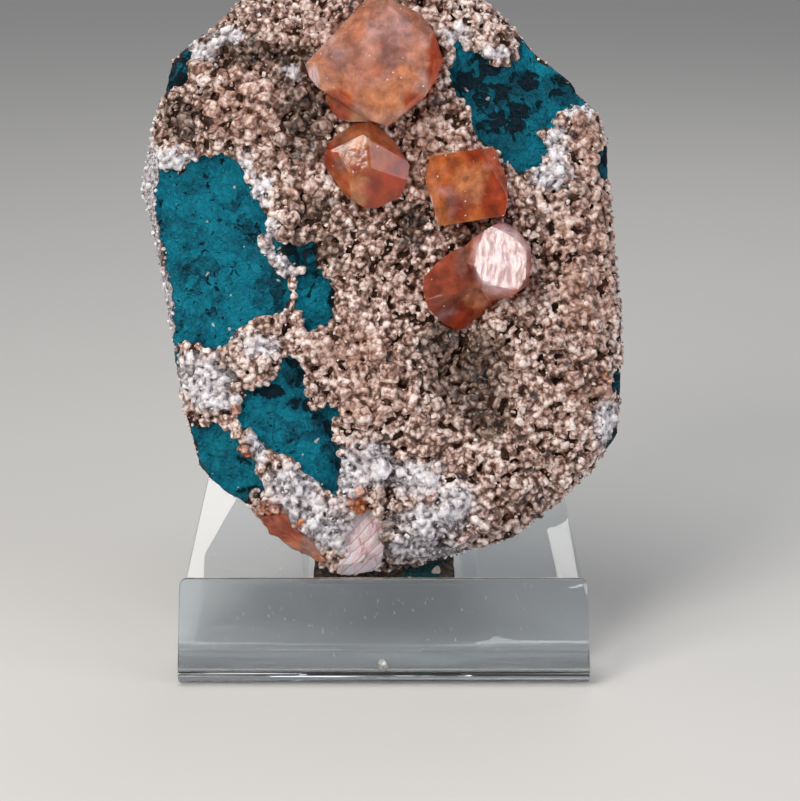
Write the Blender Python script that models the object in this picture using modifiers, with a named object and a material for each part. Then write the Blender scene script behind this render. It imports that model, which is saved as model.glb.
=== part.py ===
"""Red calcite on heulandite with celadonite, standing on a clear acrylic easel.

Run with: blender --background --python part.py

The stone's front is modelled in its own slanted frame: u runs to the right, v up the
face and w out of it, towards someone who looks at it from slightly above. Points on the
stone are given in pixels of the reference photograph and a depth w in millimetres, and
face_point turns them into metres. The easel is one heat-bent sheet with its shelf on the
table. The origin is the middle of the shelf's underside, X to the right, Y to the back.
"""

import math
import random

import bmesh
import bpy
from mathutils import Euler, Matrix, Vector, geometry, noise

MM = 0.001
GAP = 0.3 * MM

# The slanted frame of the stone's face, and the scale of the reference photograph
FACE_LEAN = math.radians(15)
FACE_SCALE = 0.2472 * MM
VIEW_DISTANCE = 800 * MM
VIEW_CENTRE_PX = (400, 400.5)
TIP_PX = (348, 577)
TIP = Vector((-8.9, 10.4, 20.9)) * MM
AXIS_U = Vector((1, 0, 0))
AXIS_V = Vector((0, math.sin(FACE_LEAN), math.cos(FACE_LEAN)))
AXIS_W = Vector((0, -math.cos(FACE_LEAN), math.sin(FACE_LEAN)))

# The easel, bent from one sheet: lip, shelf, leaning panel with a window, rear leg
SHEET = 3 * MM
LIP_FRONT_Y = -12 * MM
LIP_HEIGHT = 26 * MM
LIP_LEAN = math.radians(10)
LIP_TOP_HALF = 49.3 * MM
LIP_CORNER = 1.6 * MM
BASE_HALF = 50 * MM
SHELF_BACK_Y = 10.1 * MM
PANEL_LEAN = math.radians(22)
PANEL_LENGTH = 133 * MM
PANEL_TAPER_START = 14 * MM
LEG_HALF = 24.6 * MM
LEG_FOOT_Y = 55 * MM
TOP_DEPTH = 9 * MM
BEND_RADIUS = 3.2 * MM
BEND_STEPS = 8
WINDOW_START = 12.9 * MM
WINDOW_END = 74 * MM
WINDOW_HALF = (19.4 * MM, 15.6 * MM)

# The knob on the stone's back that stands on the lower edge of the window
KNOB_HALF = 18.4 * MM
KNOB_SHOULDER = 30 * MM
KNOB_TOP = 46 * MM
KNOB_REACH = 9 * MM
KNOB_ROOT = 3 * MM

# The stone's outline, clockwise from the top left. The photograph cuts the top off.
OUTLINE_PX = [
    (241, 0), (232, 10), (218, 27), (191, 44), (172, 61), (166, 91), (159, 110),
    (154, 125), (149, 149), (141, 188), (149, 214), (159, 261), (164, 289), (170, 330),
    (178, 378), (187, 418), (199, 464), (206, 475), (224, 491), (247, 504), (257, 514),
    (271, 531), (288, 543), (306, 553), (318, 560), (330, 570), (340, 576.5), (348, 577),
    (358, 576.5), (369, 573), (392, 568), (420, 564), (446, 557), (474, 549), (510, 538),
    (540, 515), (565, 495), (596, 465), (617, 436), (620, 406), (621, 374), (621, 320),
    (613, 240), (608, 179), (607, 140), (597, 112), (577, 94), (571, 82), (536, 55),
    (521, 37), (504, 18), (480, 0), (452, -11), (415, -19), (370, -23), (322, -21),
    (280, -14),
]

# The windows in the crust where flat celadonite shows
CELADONITE_PX = {
    "left": [
        (156, 207), (158, 168), (172, 168), (194, 162), (203, 148), (232, 153),
        (244, 176), (252, 196), (268, 212), (260, 244), (272, 266), (292, 280),
        (289, 311), (253, 318), (240, 336), (227, 349), (183, 343), (173, 346),
        (170, 322), (163, 280),
    ],
    "small": [(305, 336), (296, 290), (296, 274), (318, 268), (332, 270), (338, 296), (336, 324)],
    "middle": [
        (234, 418), (241, 390), (276, 381), (288, 356), (304, 361), (309, 404),
        (341, 409), (335, 428), (341, 464), (332, 494), (288, 456), (261, 447),
    ],
    "low": [
        (189, 417), (220, 426), (244, 442), (266, 489), (247, 500), (224, 489), (207, 474),
        (200, 460),
    ],
    "right": [
        (470, 46), (449, 50), (444, 69), (464, 111), (481, 145), (512, 172), (541, 166),
        (548, 149), (538, 133), (556, 124), (566, 106), (594, 110), (577, 95), (570, 84),
        (536, 56), (522, 40), (500, 60),
    ],
}
CELADONITE_RECESS = 1.5 * MM
RECESS_WALL = 0.7 * MM

# The crust: its rim, its dome, and the lumps and hollows on it as
# (x, y, radius in x, radius in y, height in mm)
RIM_DEPTH = -2.4 * MM
DOME_HEIGHT = 7.2 * MM
DOME_REACH = 6.5 * MM
SWELLS_PX = [
    (385, 402, 62, 26, 3.4), (350, 325, 42, 34, 1.6), (560, 300, 42, 60, 1.6),
    (515, 480, 66, 34, 1.6), (300, 215, 34, 34, 1.4), (255, 112, 46, 28, 2.2),
    (438, 520, 36, 36, 2.2), (345, 480, 30, 34, 1.6), (560, 400, 34, 34, 1.4),
    (470, 12, 30, 18, 1.2), (232, 62, 48, 16, -1.6), (306, 122, 20, 40, -3.2),
    (470, 372, 34, 42, -7.6), (440, 345, 18, 18, -3.0), (298, 252, 26, 16, -1.8),
    (286, 368, 16, 14, -1.6), (408, 225, 16, 24, -2.0), (545, 262, 14, 30, -1.8),
]
CREVICE_PX = ((391, 452), (387, 568))
CREVICE_HALF = 1.1 * MM
CREVICE_DEPTH = 4.6 * MM
ROUGHNESS = 0.9 * MM
ROUGHNESS_SIZE = 7 * MM
GRID_STEP = 4.6 * MM
GRID_SEED = 11

# The larger heulandite crystals that are fused to the crust
CRYSTAL_SPACING = 5.7 * MM
CRYSTAL_SIZE = (3.0 * MM, 5.0 * MM)
CRYSTAL_SEED = 7
CRYSTAL_MARGIN = 2.6 * MM
CRYSTAL_TRIES = 9000
CRYSTAL_LEAN = 0.7

# The block that a calcite crystal's facets are cut from, and the slope from which a facet
# counts as one of its upright walls
BLOCK_WIDTH = 60 * MM
BLOCK_TOP = 24 * MM
UPRIGHT = 80

# The calcite crystals. A facet is (x1, y1, x2, y2, depth in mm, slope in degrees): the
# plane through that line, sloping down outwards from the face, where 90 is upright. The
# first is the broad front face. Where the depth is None, the line lies on that front face,
# and the slope is measured from it.
CALCITE_LARGE = {
    "centre": (378, 62),
    "back": 0.5,
    "facets": [
        (384, 60, 386, 66, 16.4, 4),
        (325, 62, 381.5, 8, None, 50),
        (325, 66, 335, 87, None, 52),
        (335, 88, 371, 118, None, 60),
        (392, 119, 428, 86, None, 48),
        (431, 78, 434, 60, None, 44),
        (434, 58, 427, 38, None, 44),
        (394, 10, 424, 34, None, 44),
        (367, 0, 306, 66.5, 9.5, 92),
        (306, 66.5, 310, 78, 10.0, 92),
        (310, 78, 318, 88, 10.0, 92),
        (318, 88, 369, 121, 10.0, 92),
        (369, 121, 388, 127, 12.0, 92),
        (388, 127, 425, 97, 12.0, 92),
        (425, 97, 434, 83, 12.0, 92),
        (434, 83, 442.6, 62, 12.0, 92),
        (442.6, 62, 436, 38, 12.0, 92),
        (436, 38, 421.5, 15, 11.0, 92),
        (421.5, 15, 391.5, 2.5, 10.0, 92),
        (391.5, 2.5, 375, -1.5, 9.0, 92),
        (375, -1.5, 367, 0, 9.0, 92),
    ],
}
CALCITE_WEDGE = {
    "centre": (348, 107),
    "back": 0.0,
    "facets": [
        (338, 100, 350, 112, 10.0, 14),
        (330, 102, 340, 115, None, 45),
        (328, 93, 326, 99, 8.0, 92),
        (326, 99, 330.5, 109, 8.0, 92),
        (330.5, 109, 337, 117.5, 8.0, 92),
        (337, 117.5, 347, 122, 8.0, 92),
        (347, 122, 372, 122, 8.0, 92),
        (372, 122, 366, 98, 8.0, 92),
        (366, 98, 328, 93, 8.0, 92),
    ],
}
CALCITE_SMALL = {
    "centre": (366, 166),
    "back": 0.0,
    "facets": [
        (348, 150, 352, 178, 12.6, 10),
        (384, 160, 386, 190, 12.0, 24),
        (338, 146, 364, 130, 12.0, 56),
        (376, 134, 398, 156, 10.5, 52),
        (336, 162, 348, 184, 11.6, 54),
        (350, 184, 370, 176, 12.4, 34),
        (324, 157, 327.5, 146, 8.0, 92),
        (327.5, 146, 335, 136, 8.5, 92),
        (335, 136, 355, 122.5, 8.5, 92),
        (355, 122.5, 366, 119, 9.0, 92),
        (366, 119, 377, 125.5, 9.0, 92),
        (377, 125.5, 395, 142, 8.0, 92),
        (395, 142, 409.5, 166, 7.0, 92),
        (409.5, 166, 407, 182, 7.0, 92),
        (407, 182, 401, 196, 7.0, 92),
        (401, 196, 378, 208, 7.0, 92),
        (378, 208, 366, 209, 7.0, 92),
        (366, 209, 344, 194, 7.5, 92),
        (344, 194, 324, 165, 8.0, 92),
        (324, 165, 324, 157, 8.0, 92),
    ],
}
CALCITE_CUBE = {
    "centre": (468, 187),
    "back": -1.0,
    "facets": [
        (470, 180, 472, 200, 13.0, 5),
        (434, 163, 439, 196, None, 55),
        (487, 160, 504, 190, None, 32),
        (430, 157, 494, 148, 10.0, 92),
        (494, 148, 507, 180, 10.0, 92),
        (507, 180, 507, 204, 10.0, 92),
        (507, 204, 504, 216, 10.0, 92),
        (504, 216, 439, 226.5, 10.0, 92),
        (439, 226.5, 425.5, 182, 9.0, 92),
        (425.5, 182, 430, 157, 9.0, 92),
    ],
}
CALCITE_HEAD = {
    "centre": (500, 258),
    "back": -2.0,
    "facets": [
        (474, 266, 477.5, 249, 13.6, 13),
        (485, 230, 477.5, 249, None, 40),
        (477.5, 249, 474, 266, None, 38),
        (474, 266, 484, 284, None, 52),
        (484, 284, 517.5, 290, None, 52),
        (517.5, 290, 525, 282.5, None, 58),
        (525, 282.5, 527, 265, None, 66),
        (527, 265, 525.6, 250, None, 66),
        (525.6, 250, 516, 239, None, 60),
        (516, 239, 492.5, 226, None, 56),
        (492.5, 226, 485, 230, None, 50),
        (486, 297, 456, 250, 9.5, 92),
        (452, 250, 475, 237, 10.0, 92),
        (475, 237, 492, 222.5, 10.0, 92),
        (492, 222.5, 500, 220.5, 10.5, 92),
        (500, 220.5, 511, 226, 11.0, 92),
        (511, 226, 520, 234, 11.0, 92),
        (520, 234, 530, 248, 11.5, 92),
        (530, 248, 530.5, 266, 12.0, 92),
        (530.5, 266, 527, 285, 12.0, 92),
        (527, 285, 512, 296, 12.0, 92),
        (512, 296, 493, 301, 11.0, 92),
    ],
}
CALCITE_LOBE = {
    "centre": (456, 292),
    "back": -3.0,
    "facets": [
        (468, 268, 488, 296, 11.2, 24),
        (452, 320, 484, 298, 8.0, 50),
        (470, 246, 452.5, 252.5, 7.0, 92),
        (452.5, 252.5, 437.5, 265, 6.5, 92),
        (437.5, 265, 425, 279, 6.0, 92),
        (425, 279, 424, 291, 6.0, 92),
        (424, 291, 429, 309, 5.5, 92),
        (429, 309, 444, 324, 5.5, 92),
        (444, 324, 459, 330.6, 5.0, 92),
        (459, 330.6, 470, 325, 5.0, 92),
        (470, 325, 497, 303, 6.0, 92),
        (497, 303, 502, 270, 8.0, 92),
    ],
}
CALCITE_TIP = {
    "centre": (362, 545),
    "back": -3.6,
    "facets": [
        (362, 520, 364, 560, 4.4, 12),
        (352, 512, 376, 500, 3.2, 92),
        (376, 500, 386, 530, 3.4, 92),
        (386, 530, 381, 566, 2.6, 92),
        (381, 566, 370, 572.5, 0.6, 92),
        (370, 571.5, 348, 575.8, 0.0, 92),
        (348, 575.5, 336, 573.5, 0.0, 92),
        (336, 574, 352, 512, 2.0, 92),
        (350, 560, 372, 560, 2.6, 40),
    ],
}
CLEAVAGE_STEPS = 4
CLEAVAGE_RISE = 0.5 * MM
CLEAVAGE_LEFT_PX = 352
CLEAVAGE_STEP_PX = 7
CALCITE_EDGE = {
    "centre": (294, 532),
    "back": -5.5,
    "facets": [
        (280, 528, 300, 544, 1.4, 30),
        (262, 516, 284, 514, 0.2, 92),
        (284, 514, 326, 560, 0.6, 92),
        (326, 560, 320, 561, -1.0, 92),
        (320, 560.2, 288, 542.0, -1.2, 92),
        (288, 542.4, 271, 530.2, -1.2, 92),
        (271, 530.0, 260, 517.2, -1.2, 92),
    ],
}


def drop_scene():
    """Remove the objects that a new file starts with."""
    for old in list(bpy.data.objects):
        bpy.data.objects.remove(old, do_unlink=True)


def face_uv(px, py, w=0.0):
    """Pixel and depth to metres across and up the stone's face."""
    near = 1 - w / VIEW_DISTANCE
    centre_u = (VIEW_CENTRE_PX[0] - TIP_PX[0]) * FACE_SCALE
    centre_v = (TIP_PX[1] - VIEW_CENTRE_PX[1]) * FACE_SCALE
    u = centre_u + (px - VIEW_CENTRE_PX[0]) * FACE_SCALE * near
    v = centre_v + (VIEW_CENTRE_PX[1] - py) * FACE_SCALE * near
    return u, v


def from_uvw(u, v, w):
    """A point of the stone's frame in world coordinates."""
    return TIP + AXIS_U * u + AXIS_V * v + AXIS_W * w


def face_point(px, py, w=0.0):
    """Pixel and depth to world coordinates."""
    u, v = face_uv(px, py, w)
    return from_uvw(u, v, w)


def panel_point(x, along, behind):
    """A point x across, along up the panel's front surface and behind it."""
    lean = PANEL_LEAN
    start = Vector((x, SHELF_BACK_Y, SHEET))
    up = Vector((0, math.sin(lean), math.cos(lean)))
    back = Vector((0, math.cos(lean), -math.sin(lean)))
    return start + up * along + back * behind


def material(name, colour, roughness, transmission=0.0):
    """A plain Principled material, with its colour in linear RGB."""
    made = bpy.data.materials.new(name)
    made.use_nodes = True
    shader = made.node_tree.nodes["Principled BSDF"]
    shader.inputs["Base Color"].default_value = (*colour, 1.0)
    shader.inputs["Roughness"].default_value = roughness
    shader.inputs["Metallic"].default_value = 0.0
    shader.inputs["Transmission Weight"].default_value = transmission
    made.diffuse_color = (*colour, 1.0)
    return made


def new_object(name, bm, collection):
    """Turn a bmesh into a named object in a collection."""
    mesh = bpy.data.meshes.new(name)
    bm.to_mesh(mesh)
    bm.free()
    made = bpy.data.objects.new(name, mesh)
    collection.objects.link(made)
    return made


def boolean(target, tool, operation):
    """Apply an exact Boolean to target and remove the tool."""
    modifier = target.modifiers.new("cut", "BOOLEAN")
    modifier.operation = operation
    modifier.solver = "EXACT"
    modifier.object = tool
    depsgraph = bpy.context.evaluated_depsgraph_get()
    mesh = bpy.data.meshes.new_from_object(target.evaluated_get(depsgraph))
    target.modifiers.clear()
    old = target.data
    target.data = mesh
    bpy.data.meshes.remove(old)
    bpy.data.objects.remove(tool, do_unlink=True)


def distance_to_polygon(point, polygon):
    """Distance from a 2D point to a closed outline, positive inside."""
    inside = False
    nearest = float("inf")
    for a, b in zip(polygon, polygon[1:] + polygon[:1]):
        edge = b - a
        t = max(0.0, min(1.0, (point - a).dot(edge) / edge.length_squared))
        nearest = min(nearest, (point - a - edge * t).length)
        if (a.y > point.y) != (b.y > point.y):
            if point.x < a.x + (point.y - a.y) / (b.y - a.y) * edge.x:
                inside = not inside
    return nearest if inside else -nearest


def inset(polygon, amount):
    """Move each corner of a clockwise outline inwards along its own normal."""
    moved = []
    for i, point in enumerate(polygon):
        along = (polygon[(i + 1) % len(polygon)] - polygon[i - 1]).normalized()
        moved.append(point + Vector((along.y, -along.x)) * amount)
    return moved


def clockwise(polygon):
    """The same outline, running clockwise."""
    area = sum(a.x * b.y - b.x * a.y for a, b in zip(polygon, polygon[1:] + polygon[:1]))
    return polygon if area < 0 else polygon[::-1]


def outline_from(pixels, w=0.0):
    """A list of pixels as a clockwise outline on the face, in metres."""
    return clockwise([Vector(face_uv(x, y, w)) for x, y in pixels])


# The stone


def back_depth(v):
    """Depth w of the stone's flat back, parallel to the easel's panel."""
    lean = PANEL_LEAN
    facing = Vector((0, -math.cos(lean), math.sin(lean)))
    over = (from_uvw(0, v, 0) - panel_point(0, 0, 0)).dot(facing) - GAP
    return -over / AXIS_W.dot(facing)


def dome_height(edge):
    """The smooth height of the face at a distance from its rim."""
    return RIM_DEPTH + DOME_HEIGHT * (1 - math.exp(-max(edge, 0) / DOME_REACH))


def swell_height(point):
    """Lumps and hollows at a point of the face."""
    total = 0.0
    for x, y, across, up, height in SWELLS_PX:
        u, v = face_uv(x, y)
        du = (point.x - u) / (across * FACE_SCALE)
        dv = (point.y - v) / (up * FACE_SCALE)
        total += height * MM * math.exp(-(du * du + dv * dv))
    top, bottom = (Vector(face_uv(*end)) for end in CREVICE_PX)
    t = max(0.0, min(1.0, (point - top).dot(bottom - top) / (bottom - top).length_squared))
    apart = (point - top - (bottom - top) * t).length
    return total - CREVICE_DEPTH * math.exp(-((apart / CREVICE_HALF) ** 2))


def crust_height(point, edge):
    """Height of the crystal crust at a point of the face."""
    fade = 1 - math.exp(-max(edge, 0) / DOME_REACH)
    rough = noise.noise(Vector((point.x, point.y, 0)) / ROUGHNESS_SIZE)
    fine = noise.noise(Vector((point.x, point.y, 1)) / (0.4 * ROUGHNESS_SIZE))
    bumps = ROUGHNESS * (rough + 0.6 * fine)
    return dome_height(edge) + fade * (swell_height(point) + bumps)


def face_points(outline, windows):
    """The points, constraint edges and heights of the stone's front."""
    points = list(outline)
    heights = [dome_height(0.0)] * len(outline)
    edges = [(i, (i + 1) % len(outline)) for i in range(len(outline))]
    for window in windows:
        for ring, drop in ((window, 0.0), (inset(window, RECESS_WALL), CELADONITE_RECESS)):
            start = len(points)
            for point in ring:
                edge = distance_to_polygon(point, outline)
                points.append(point)
                if drop:
                    heights.append(dome_height(edge) - drop)
                else:
                    heights.append(crust_height(point, edge))
            count = len(ring)
            edges += [(start + i, start + (i + 1) % count) for i in range(count)]
    return points, edges, heights


def grid_points(outline, windows):
    """Evenly scattered points inside the outline, sparse in the flat windows."""
    scatter = random.Random(GRID_SEED)
    low_u = min(p.x for p in outline)
    high_u = max(p.x for p in outline)
    low_v = min(p.y for p in outline)
    high_v = max(p.y for p in outline)
    row_step = GRID_STEP * math.sqrt(3) / 2
    found = []
    for row in range(int((high_v - low_v) / row_step) + 1):
        for column in range(int((high_u - low_u) / GRID_STEP) + 1):
            offset = 0.5 * (row % 2)
            u = low_u + (column + offset + scatter.uniform(-0.25, 0.25)) * GRID_STEP
            v = low_v + (row + scatter.uniform(-0.25, 0.25)) * row_step
            point = Vector((u, v))
            edge = distance_to_polygon(point, outline)
            if edge < 0.4 * GRID_STEP:
                continue
            depths = [distance_to_polygon(point, window) for window in windows]
            if any(depth > -0.35 * GRID_STEP for depth in depths):
                continue
            found.append((point, crust_height(point, edge)))
    return found


def stone_body(collection):
    """The stone without its larger crystals: a relief front, broken sides, a flat back."""
    outline = outline_from(OUTLINE_PX, RIM_DEPTH)
    windows = [outline_from(pixels) for pixels in CELADONITE_PX.values()]
    points, edges, heights = face_points(outline, windows)
    for point, height in grid_points(outline, windows):
        points.append(point)
        heights.append(height)
    result = geometry.delaunay_2d_cdt(points, edges, [], 1, 1e-6)
    flat, _, faces, origins = result[:4]
    bm = bmesh.new()
    front = []
    for place, source in zip(flat, origins):
        if source:
            height = heights[source[0]]
        else:
            height = crust_height(place, distance_to_polygon(place, outline))
        front.append(bm.verts.new(from_uvw(place.x, place.y, height)))
    for face in faces:
        bm.faces.new([front[i] for i in face])
    rim = [edge for edge in bm.edges if edge.is_boundary]
    grow_sides(bm, rim, outline)
    bmesh.ops.remove_doubles(bm, verts=bm.verts, dist=0.00002)
    bmesh.ops.triangulate(bm, faces=bm.faces)
    bmesh.ops.recalc_face_normals(bm, faces=bm.faces)
    return new_object("heulandite_matrix", bm, collection)


def grow_sides(bm, rim, outline):
    """Extrude the rim back in two uneven steps and close it with the flat back."""
    middle = sum(outline, Vector((0, 0))) / len(outline)
    for share, shrink in ((0.5, 0.7 * MM), (1.0, 3.6 * MM)):
        made = bmesh.ops.extrude_edge_only(bm, edges=rim)["geom"]
        rim = [item for item in made if isinstance(item, bmesh.types.BMEdge) and item.is_boundary]
        for vert in {vert for edge in rim for vert in edge.verts}:
            offset = vert.co - TIP
            flat = Vector((offset.dot(AXIS_U), offset.dot(AXIS_V)))
            rough = noise.noise(Vector((flat.x, flat.y, share)) / (11 * MM))
            inward = (middle - flat).normalized()
            flat += inward * shrink * (1 + 0.7 * rough)
            start = offset.dot(AXIS_W)
            end = back_depth(flat.y)
            depth = end if share == 1.0 else start + (end - start) * (share + 0.15 * rough)
            vert.co = from_uvw(flat.x, flat.y, depth)
    bmesh.ops.holes_fill(bm, edges=rim)


def block_crystal(bm, place, size, turn):
    """One heulandite crystal: a coffin-shaped block with a smaller front end."""
    made = bmesh.ops.create_cube(bm, size=1.0)["verts"]
    for vert in made:
        taper = 0.72 if vert.co.z > 0 else 1.0
        vert.co.x *= size * taper
        vert.co.y *= 0.72 * size * taper
        vert.co.z *= 1.05 * size
    bmesh.ops.rotate(bm, verts=made, cent=(0, 0, 0), matrix=turn)
    bmesh.ops.translate(bm, verts=made, vec=place)


def crystal_blocks(collection, outline, keep_clear):
    """The larger crystals of the crust, spread evenly outside the windows and pockets."""
    scatter = random.Random(CRYSTAL_SEED)
    facing = Matrix((AXIS_U, AXIS_V, AXIS_W)).transposed()
    bm = bmesh.new()
    taken = []
    low = Vector((min(p.x for p in outline), min(p.y for p in outline)))
    high = Vector((max(p.x for p in outline), max(p.y for p in outline)))
    for _ in range(CRYSTAL_TRIES):
        point = Vector((scatter.uniform(low.x, high.x), scatter.uniform(low.y, high.y)))
        if any((point - other).length < CRYSTAL_SPACING for other in taken):
            continue
        edge = distance_to_polygon(point, outline)
        if edge < CRYSTAL_MARGIN:
            continue
        if any(distance_to_polygon(point, area) > -CRYSTAL_MARGIN for area in keep_clear):
            continue
        taken.append(point)
        size = scatter.uniform(*CRYSTAL_SIZE)
        lean = Euler((
            scatter.uniform(-CRYSTAL_LEAN, CRYSTAL_LEAN),
            scatter.uniform(-CRYSTAL_LEAN, CRYSTAL_LEAN),
            scatter.uniform(0, math.tau),
        ))
        height = crust_height(point, edge) + 0.08 * size
        block_crystal(bm, from_uvw(point.x, point.y, height), size, facing @ lean.to_matrix())
    return new_object("crystal_blocks", bm, collection)


def window_knob(collection):
    """The lump on the back that reaches through the window and stands on its edge."""
    bottom = WINDOW_START + GAP
    corners = []
    for side in (-1, 1):
        half = side * KNOB_HALF
        corners += [
            panel_point(half, bottom, 0.2 * SHEET),
            panel_point(half, bottom, 1.3 * SHEET),
            panel_point(0.75 * half, bottom + 0.25 * KNOB_REACH, SHEET + 0.8 * KNOB_REACH),
            panel_point(0.5 * half, bottom + 1.4 * KNOB_REACH, SHEET + KNOB_REACH),
            panel_point(0.8 * half, KNOB_TOP - 0.8 * KNOB_REACH, SHEET + 0.5 * KNOB_REACH),
            panel_point(0.95 * half, KNOB_SHOULDER, -KNOB_ROOT),
            panel_point(0.85 * half, KNOB_TOP, -KNOB_ROOT),
        ]
    bm = bmesh.new()
    for corner in corners:
        bm.verts.new(corner)
    hull = bmesh.ops.convex_hull(bm, input=bm.verts)
    inner = [item for item in hull["geom_interior"] if isinstance(item, bmesh.types.BMVert)]
    bmesh.ops.delete(bm, geom=inner, context="VERTS")
    bmesh.ops.recalc_face_normals(bm, faces=bm.faces)
    return new_object("window_knob", bm, collection)


def keep_largest(target):
    """Drop the crumbs that a cut leaves beside the main body."""
    bm = bmesh.new()
    bm.from_mesh(target.data)
    left = set(bm.verts)
    bodies = []
    while left:
        body = {left.pop()}
        front = list(body)
        while front:
            vert = front.pop()
            for edge in vert.link_edges:
                other = edge.other_vert(vert)
                if other in left:
                    left.discard(other)
                    body.add(other)
                    front.append(other)
        bodies.append(body)
    bodies.sort(key=len)
    crumbs = [vert for body in bodies[:-1] for vert in body]
    bmesh.ops.delete(bm, geom=crumbs, context="VERTS")
    bmesh.ops.triangulate(bm, faces=bm.faces)
    bm.to_mesh(target.data)
    bm.free()


# The calcite


def facet_plane(spec, facet):
    """A facet's place and its outward normal, in world coordinates."""
    x1, y1, x2, y2, depth, slope = facet
    facing = AXIS_W
    if depth is None:
        front, facing = facet_plane(spec, spec["facets"][0])
        ends = [point_on_plane(x, y, front, facing) for x, y in ((x1, y1), (x2, y2))]
    else:
        ends = [face_point(x, y, depth * MM) for x, y in ((x1, y1), (x2, y2))]
    side = (ends[1] - ends[0]).normalized().cross(facing)
    outward = (ends[0] + ends[1]) / 2 - face_point(*spec["centre"])
    if side.dot(outward) < 0:
        side = -side
    lean = math.radians(slope)
    return ends[0], facing * math.cos(lean) + side * math.sin(lean)


def point_on_plane(px, py, place, normal):
    """The world point that is seen at a pixel and lies on a plane."""
    start = face_point(px, py)
    sight = face_point(px, py, MM) - start
    return start + sight * ((place - start).dot(normal) / sight.dot(normal))


def faceted(name, spec, collection, grow=0.0):
    """A calcite crystal: a block cut by its facets, each moved out by grow."""
    centre = Vector(face_uv(*spec["centre"]))
    depth_low = spec["back"] * MM - grow
    bm = bmesh.new()
    block = bmesh.ops.create_cube(bm, size=1.0)["verts"]
    for vert in block:
        u = centre.x + BLOCK_WIDTH * vert.co.x
        v = centre.y + BLOCK_WIDTH * vert.co.y
        w = depth_low if vert.co.z < 0 else BLOCK_TOP
        vert.co = from_uvw(u, v, w)
    for facet in spec["facets"]:
        place, normal = facet_plane(spec, facet)
        place = place + normal * grow
        everything = bm.verts[:] + bm.edges[:] + bm.faces[:]
        bmesh.ops.bisect_plane(
            bm, geom=everything, dist=1e-8, plane_co=place, plane_no=normal, clear_outer=True
        )
        bmesh.ops.holes_fill(bm, edges=[edge for edge in bm.edges if edge.is_boundary])
    bmesh.ops.remove_doubles(bm, verts=bm.verts, dist=0.00002)
    bmesh.ops.dissolve_degenerate(bm, edges=bm.edges, dist=0.00002)
    bmesh.ops.recalc_face_normals(bm, faces=bm.faces)
    return new_object(name, bm, collection)


def joined_crystals(name, specs, collection, grow=0.0):
    """Crystals that have grown into each other, as one solid."""
    first = faceted(name, specs[0], collection, grow)
    for spec in specs[1:]:
        boolean(first, faceted(name + "_part", spec, collection, grow), "UNION")
    return first


def cleavage_steps(target, collection):
    """Cut the broken tip crystal into a flight of thin blades."""
    for step in range(CLEAVAGE_STEPS):
        x = CLEAVAGE_LEFT_PX + CLEAVAGE_STEP_PX * step
        spec = {
            "centre": (x - 30, 520),
            "back": 3.6 - 1.4 * step / CLEAVAGE_STEPS,
            "facets": [
                (x - 14, 575, x + 10, 498, 3.0, 88),
                (x - 60, 575, x - 40, 498, 3.0, 88),
            ],
        }
        blade = faceted("blade_cut", spec, collection)
        blade.location -= AXIS_W * CLEAVAGE_RISE * (CLEAVAGE_STEPS - step)
        bpy.context.view_layer.update()
        boolean(target, blade, "DIFFERENCE")


# The easel


def bend(points):
    """Round the corners of a side profile, as (y, z) points."""
    path = [points[0]]
    for before, corner, after in zip(points, points[1:], points[2:]):
        into = (corner - before).normalized()
        out = (after - corner).normalized()
        turn = into.angle(out)
        cut = BEND_RADIUS * math.tan(turn / 2)
        start = corner - into * cut
        side = 1 if into.x * out.y - into.y * out.x > 0 else -1
        centre = start + Vector((-into.y, into.x)) * side * BEND_RADIUS
        for step in range(BEND_STEPS + 1):
            angle = side * turn * step / BEND_STEPS
            arm = start - centre
            spun = Vector((
                arm.x * math.cos(angle) - arm.y * math.sin(angle),
                arm.x * math.sin(angle) + arm.y * math.cos(angle),
            ))
            path.append(centre + spun)
    path.append(points[-1])
    return path


def easel_profile():
    """The middle of the bent sheet from the side, as (y, z) points and their lengths."""
    half = SHEET / 2
    shelf_y = LIP_FRONT_Y + half / math.cos(LIP_LEAN)
    lip_top = Vector((shelf_y + (LIP_HEIGHT - half) * math.tan(LIP_LEAN), LIP_HEIGHT))
    panel_foot = panel_point(0, 0, half)
    drop = (panel_foot.z - half) * math.tan(PANEL_LEAN)
    corner = Vector((panel_foot.y - drop, half))
    top = panel_point(0, PANEL_LENGTH, half)
    front_top = Vector((top.y, top.z))
    back_top = Vector((top.y + TOP_DEPTH, top.z - half))
    foot = Vector((LEG_FOOT_Y + half, -2 * half))
    return bend([lip_top, Vector((shelf_y, half)), corner, front_top, back_top, foot])


def sheet_half_width(at, panel_start):
    """Half the sheet's width at a length from the lip's top edge."""
    lip = LIP_HEIGHT / math.cos(LIP_LEAN)
    if at < lip:
        width = LIP_TOP_HALF + (BASE_HALF - LIP_TOP_HALF) * at / lip
        if at < LIP_CORNER:
            short = LIP_CORNER - at
            width -= LIP_CORNER - math.sqrt(max(LIP_CORNER ** 2 - short ** 2, 0.0))
        return width
    along = at - panel_start
    if along < PANEL_TAPER_START:
        return BASE_HALF
    share = (along - PANEL_TAPER_START) / (PANEL_LENGTH - PANEL_TAPER_START)
    return BASE_HALF + (LEG_HALF - BASE_HALF) * min(share, 1.0)


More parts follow.
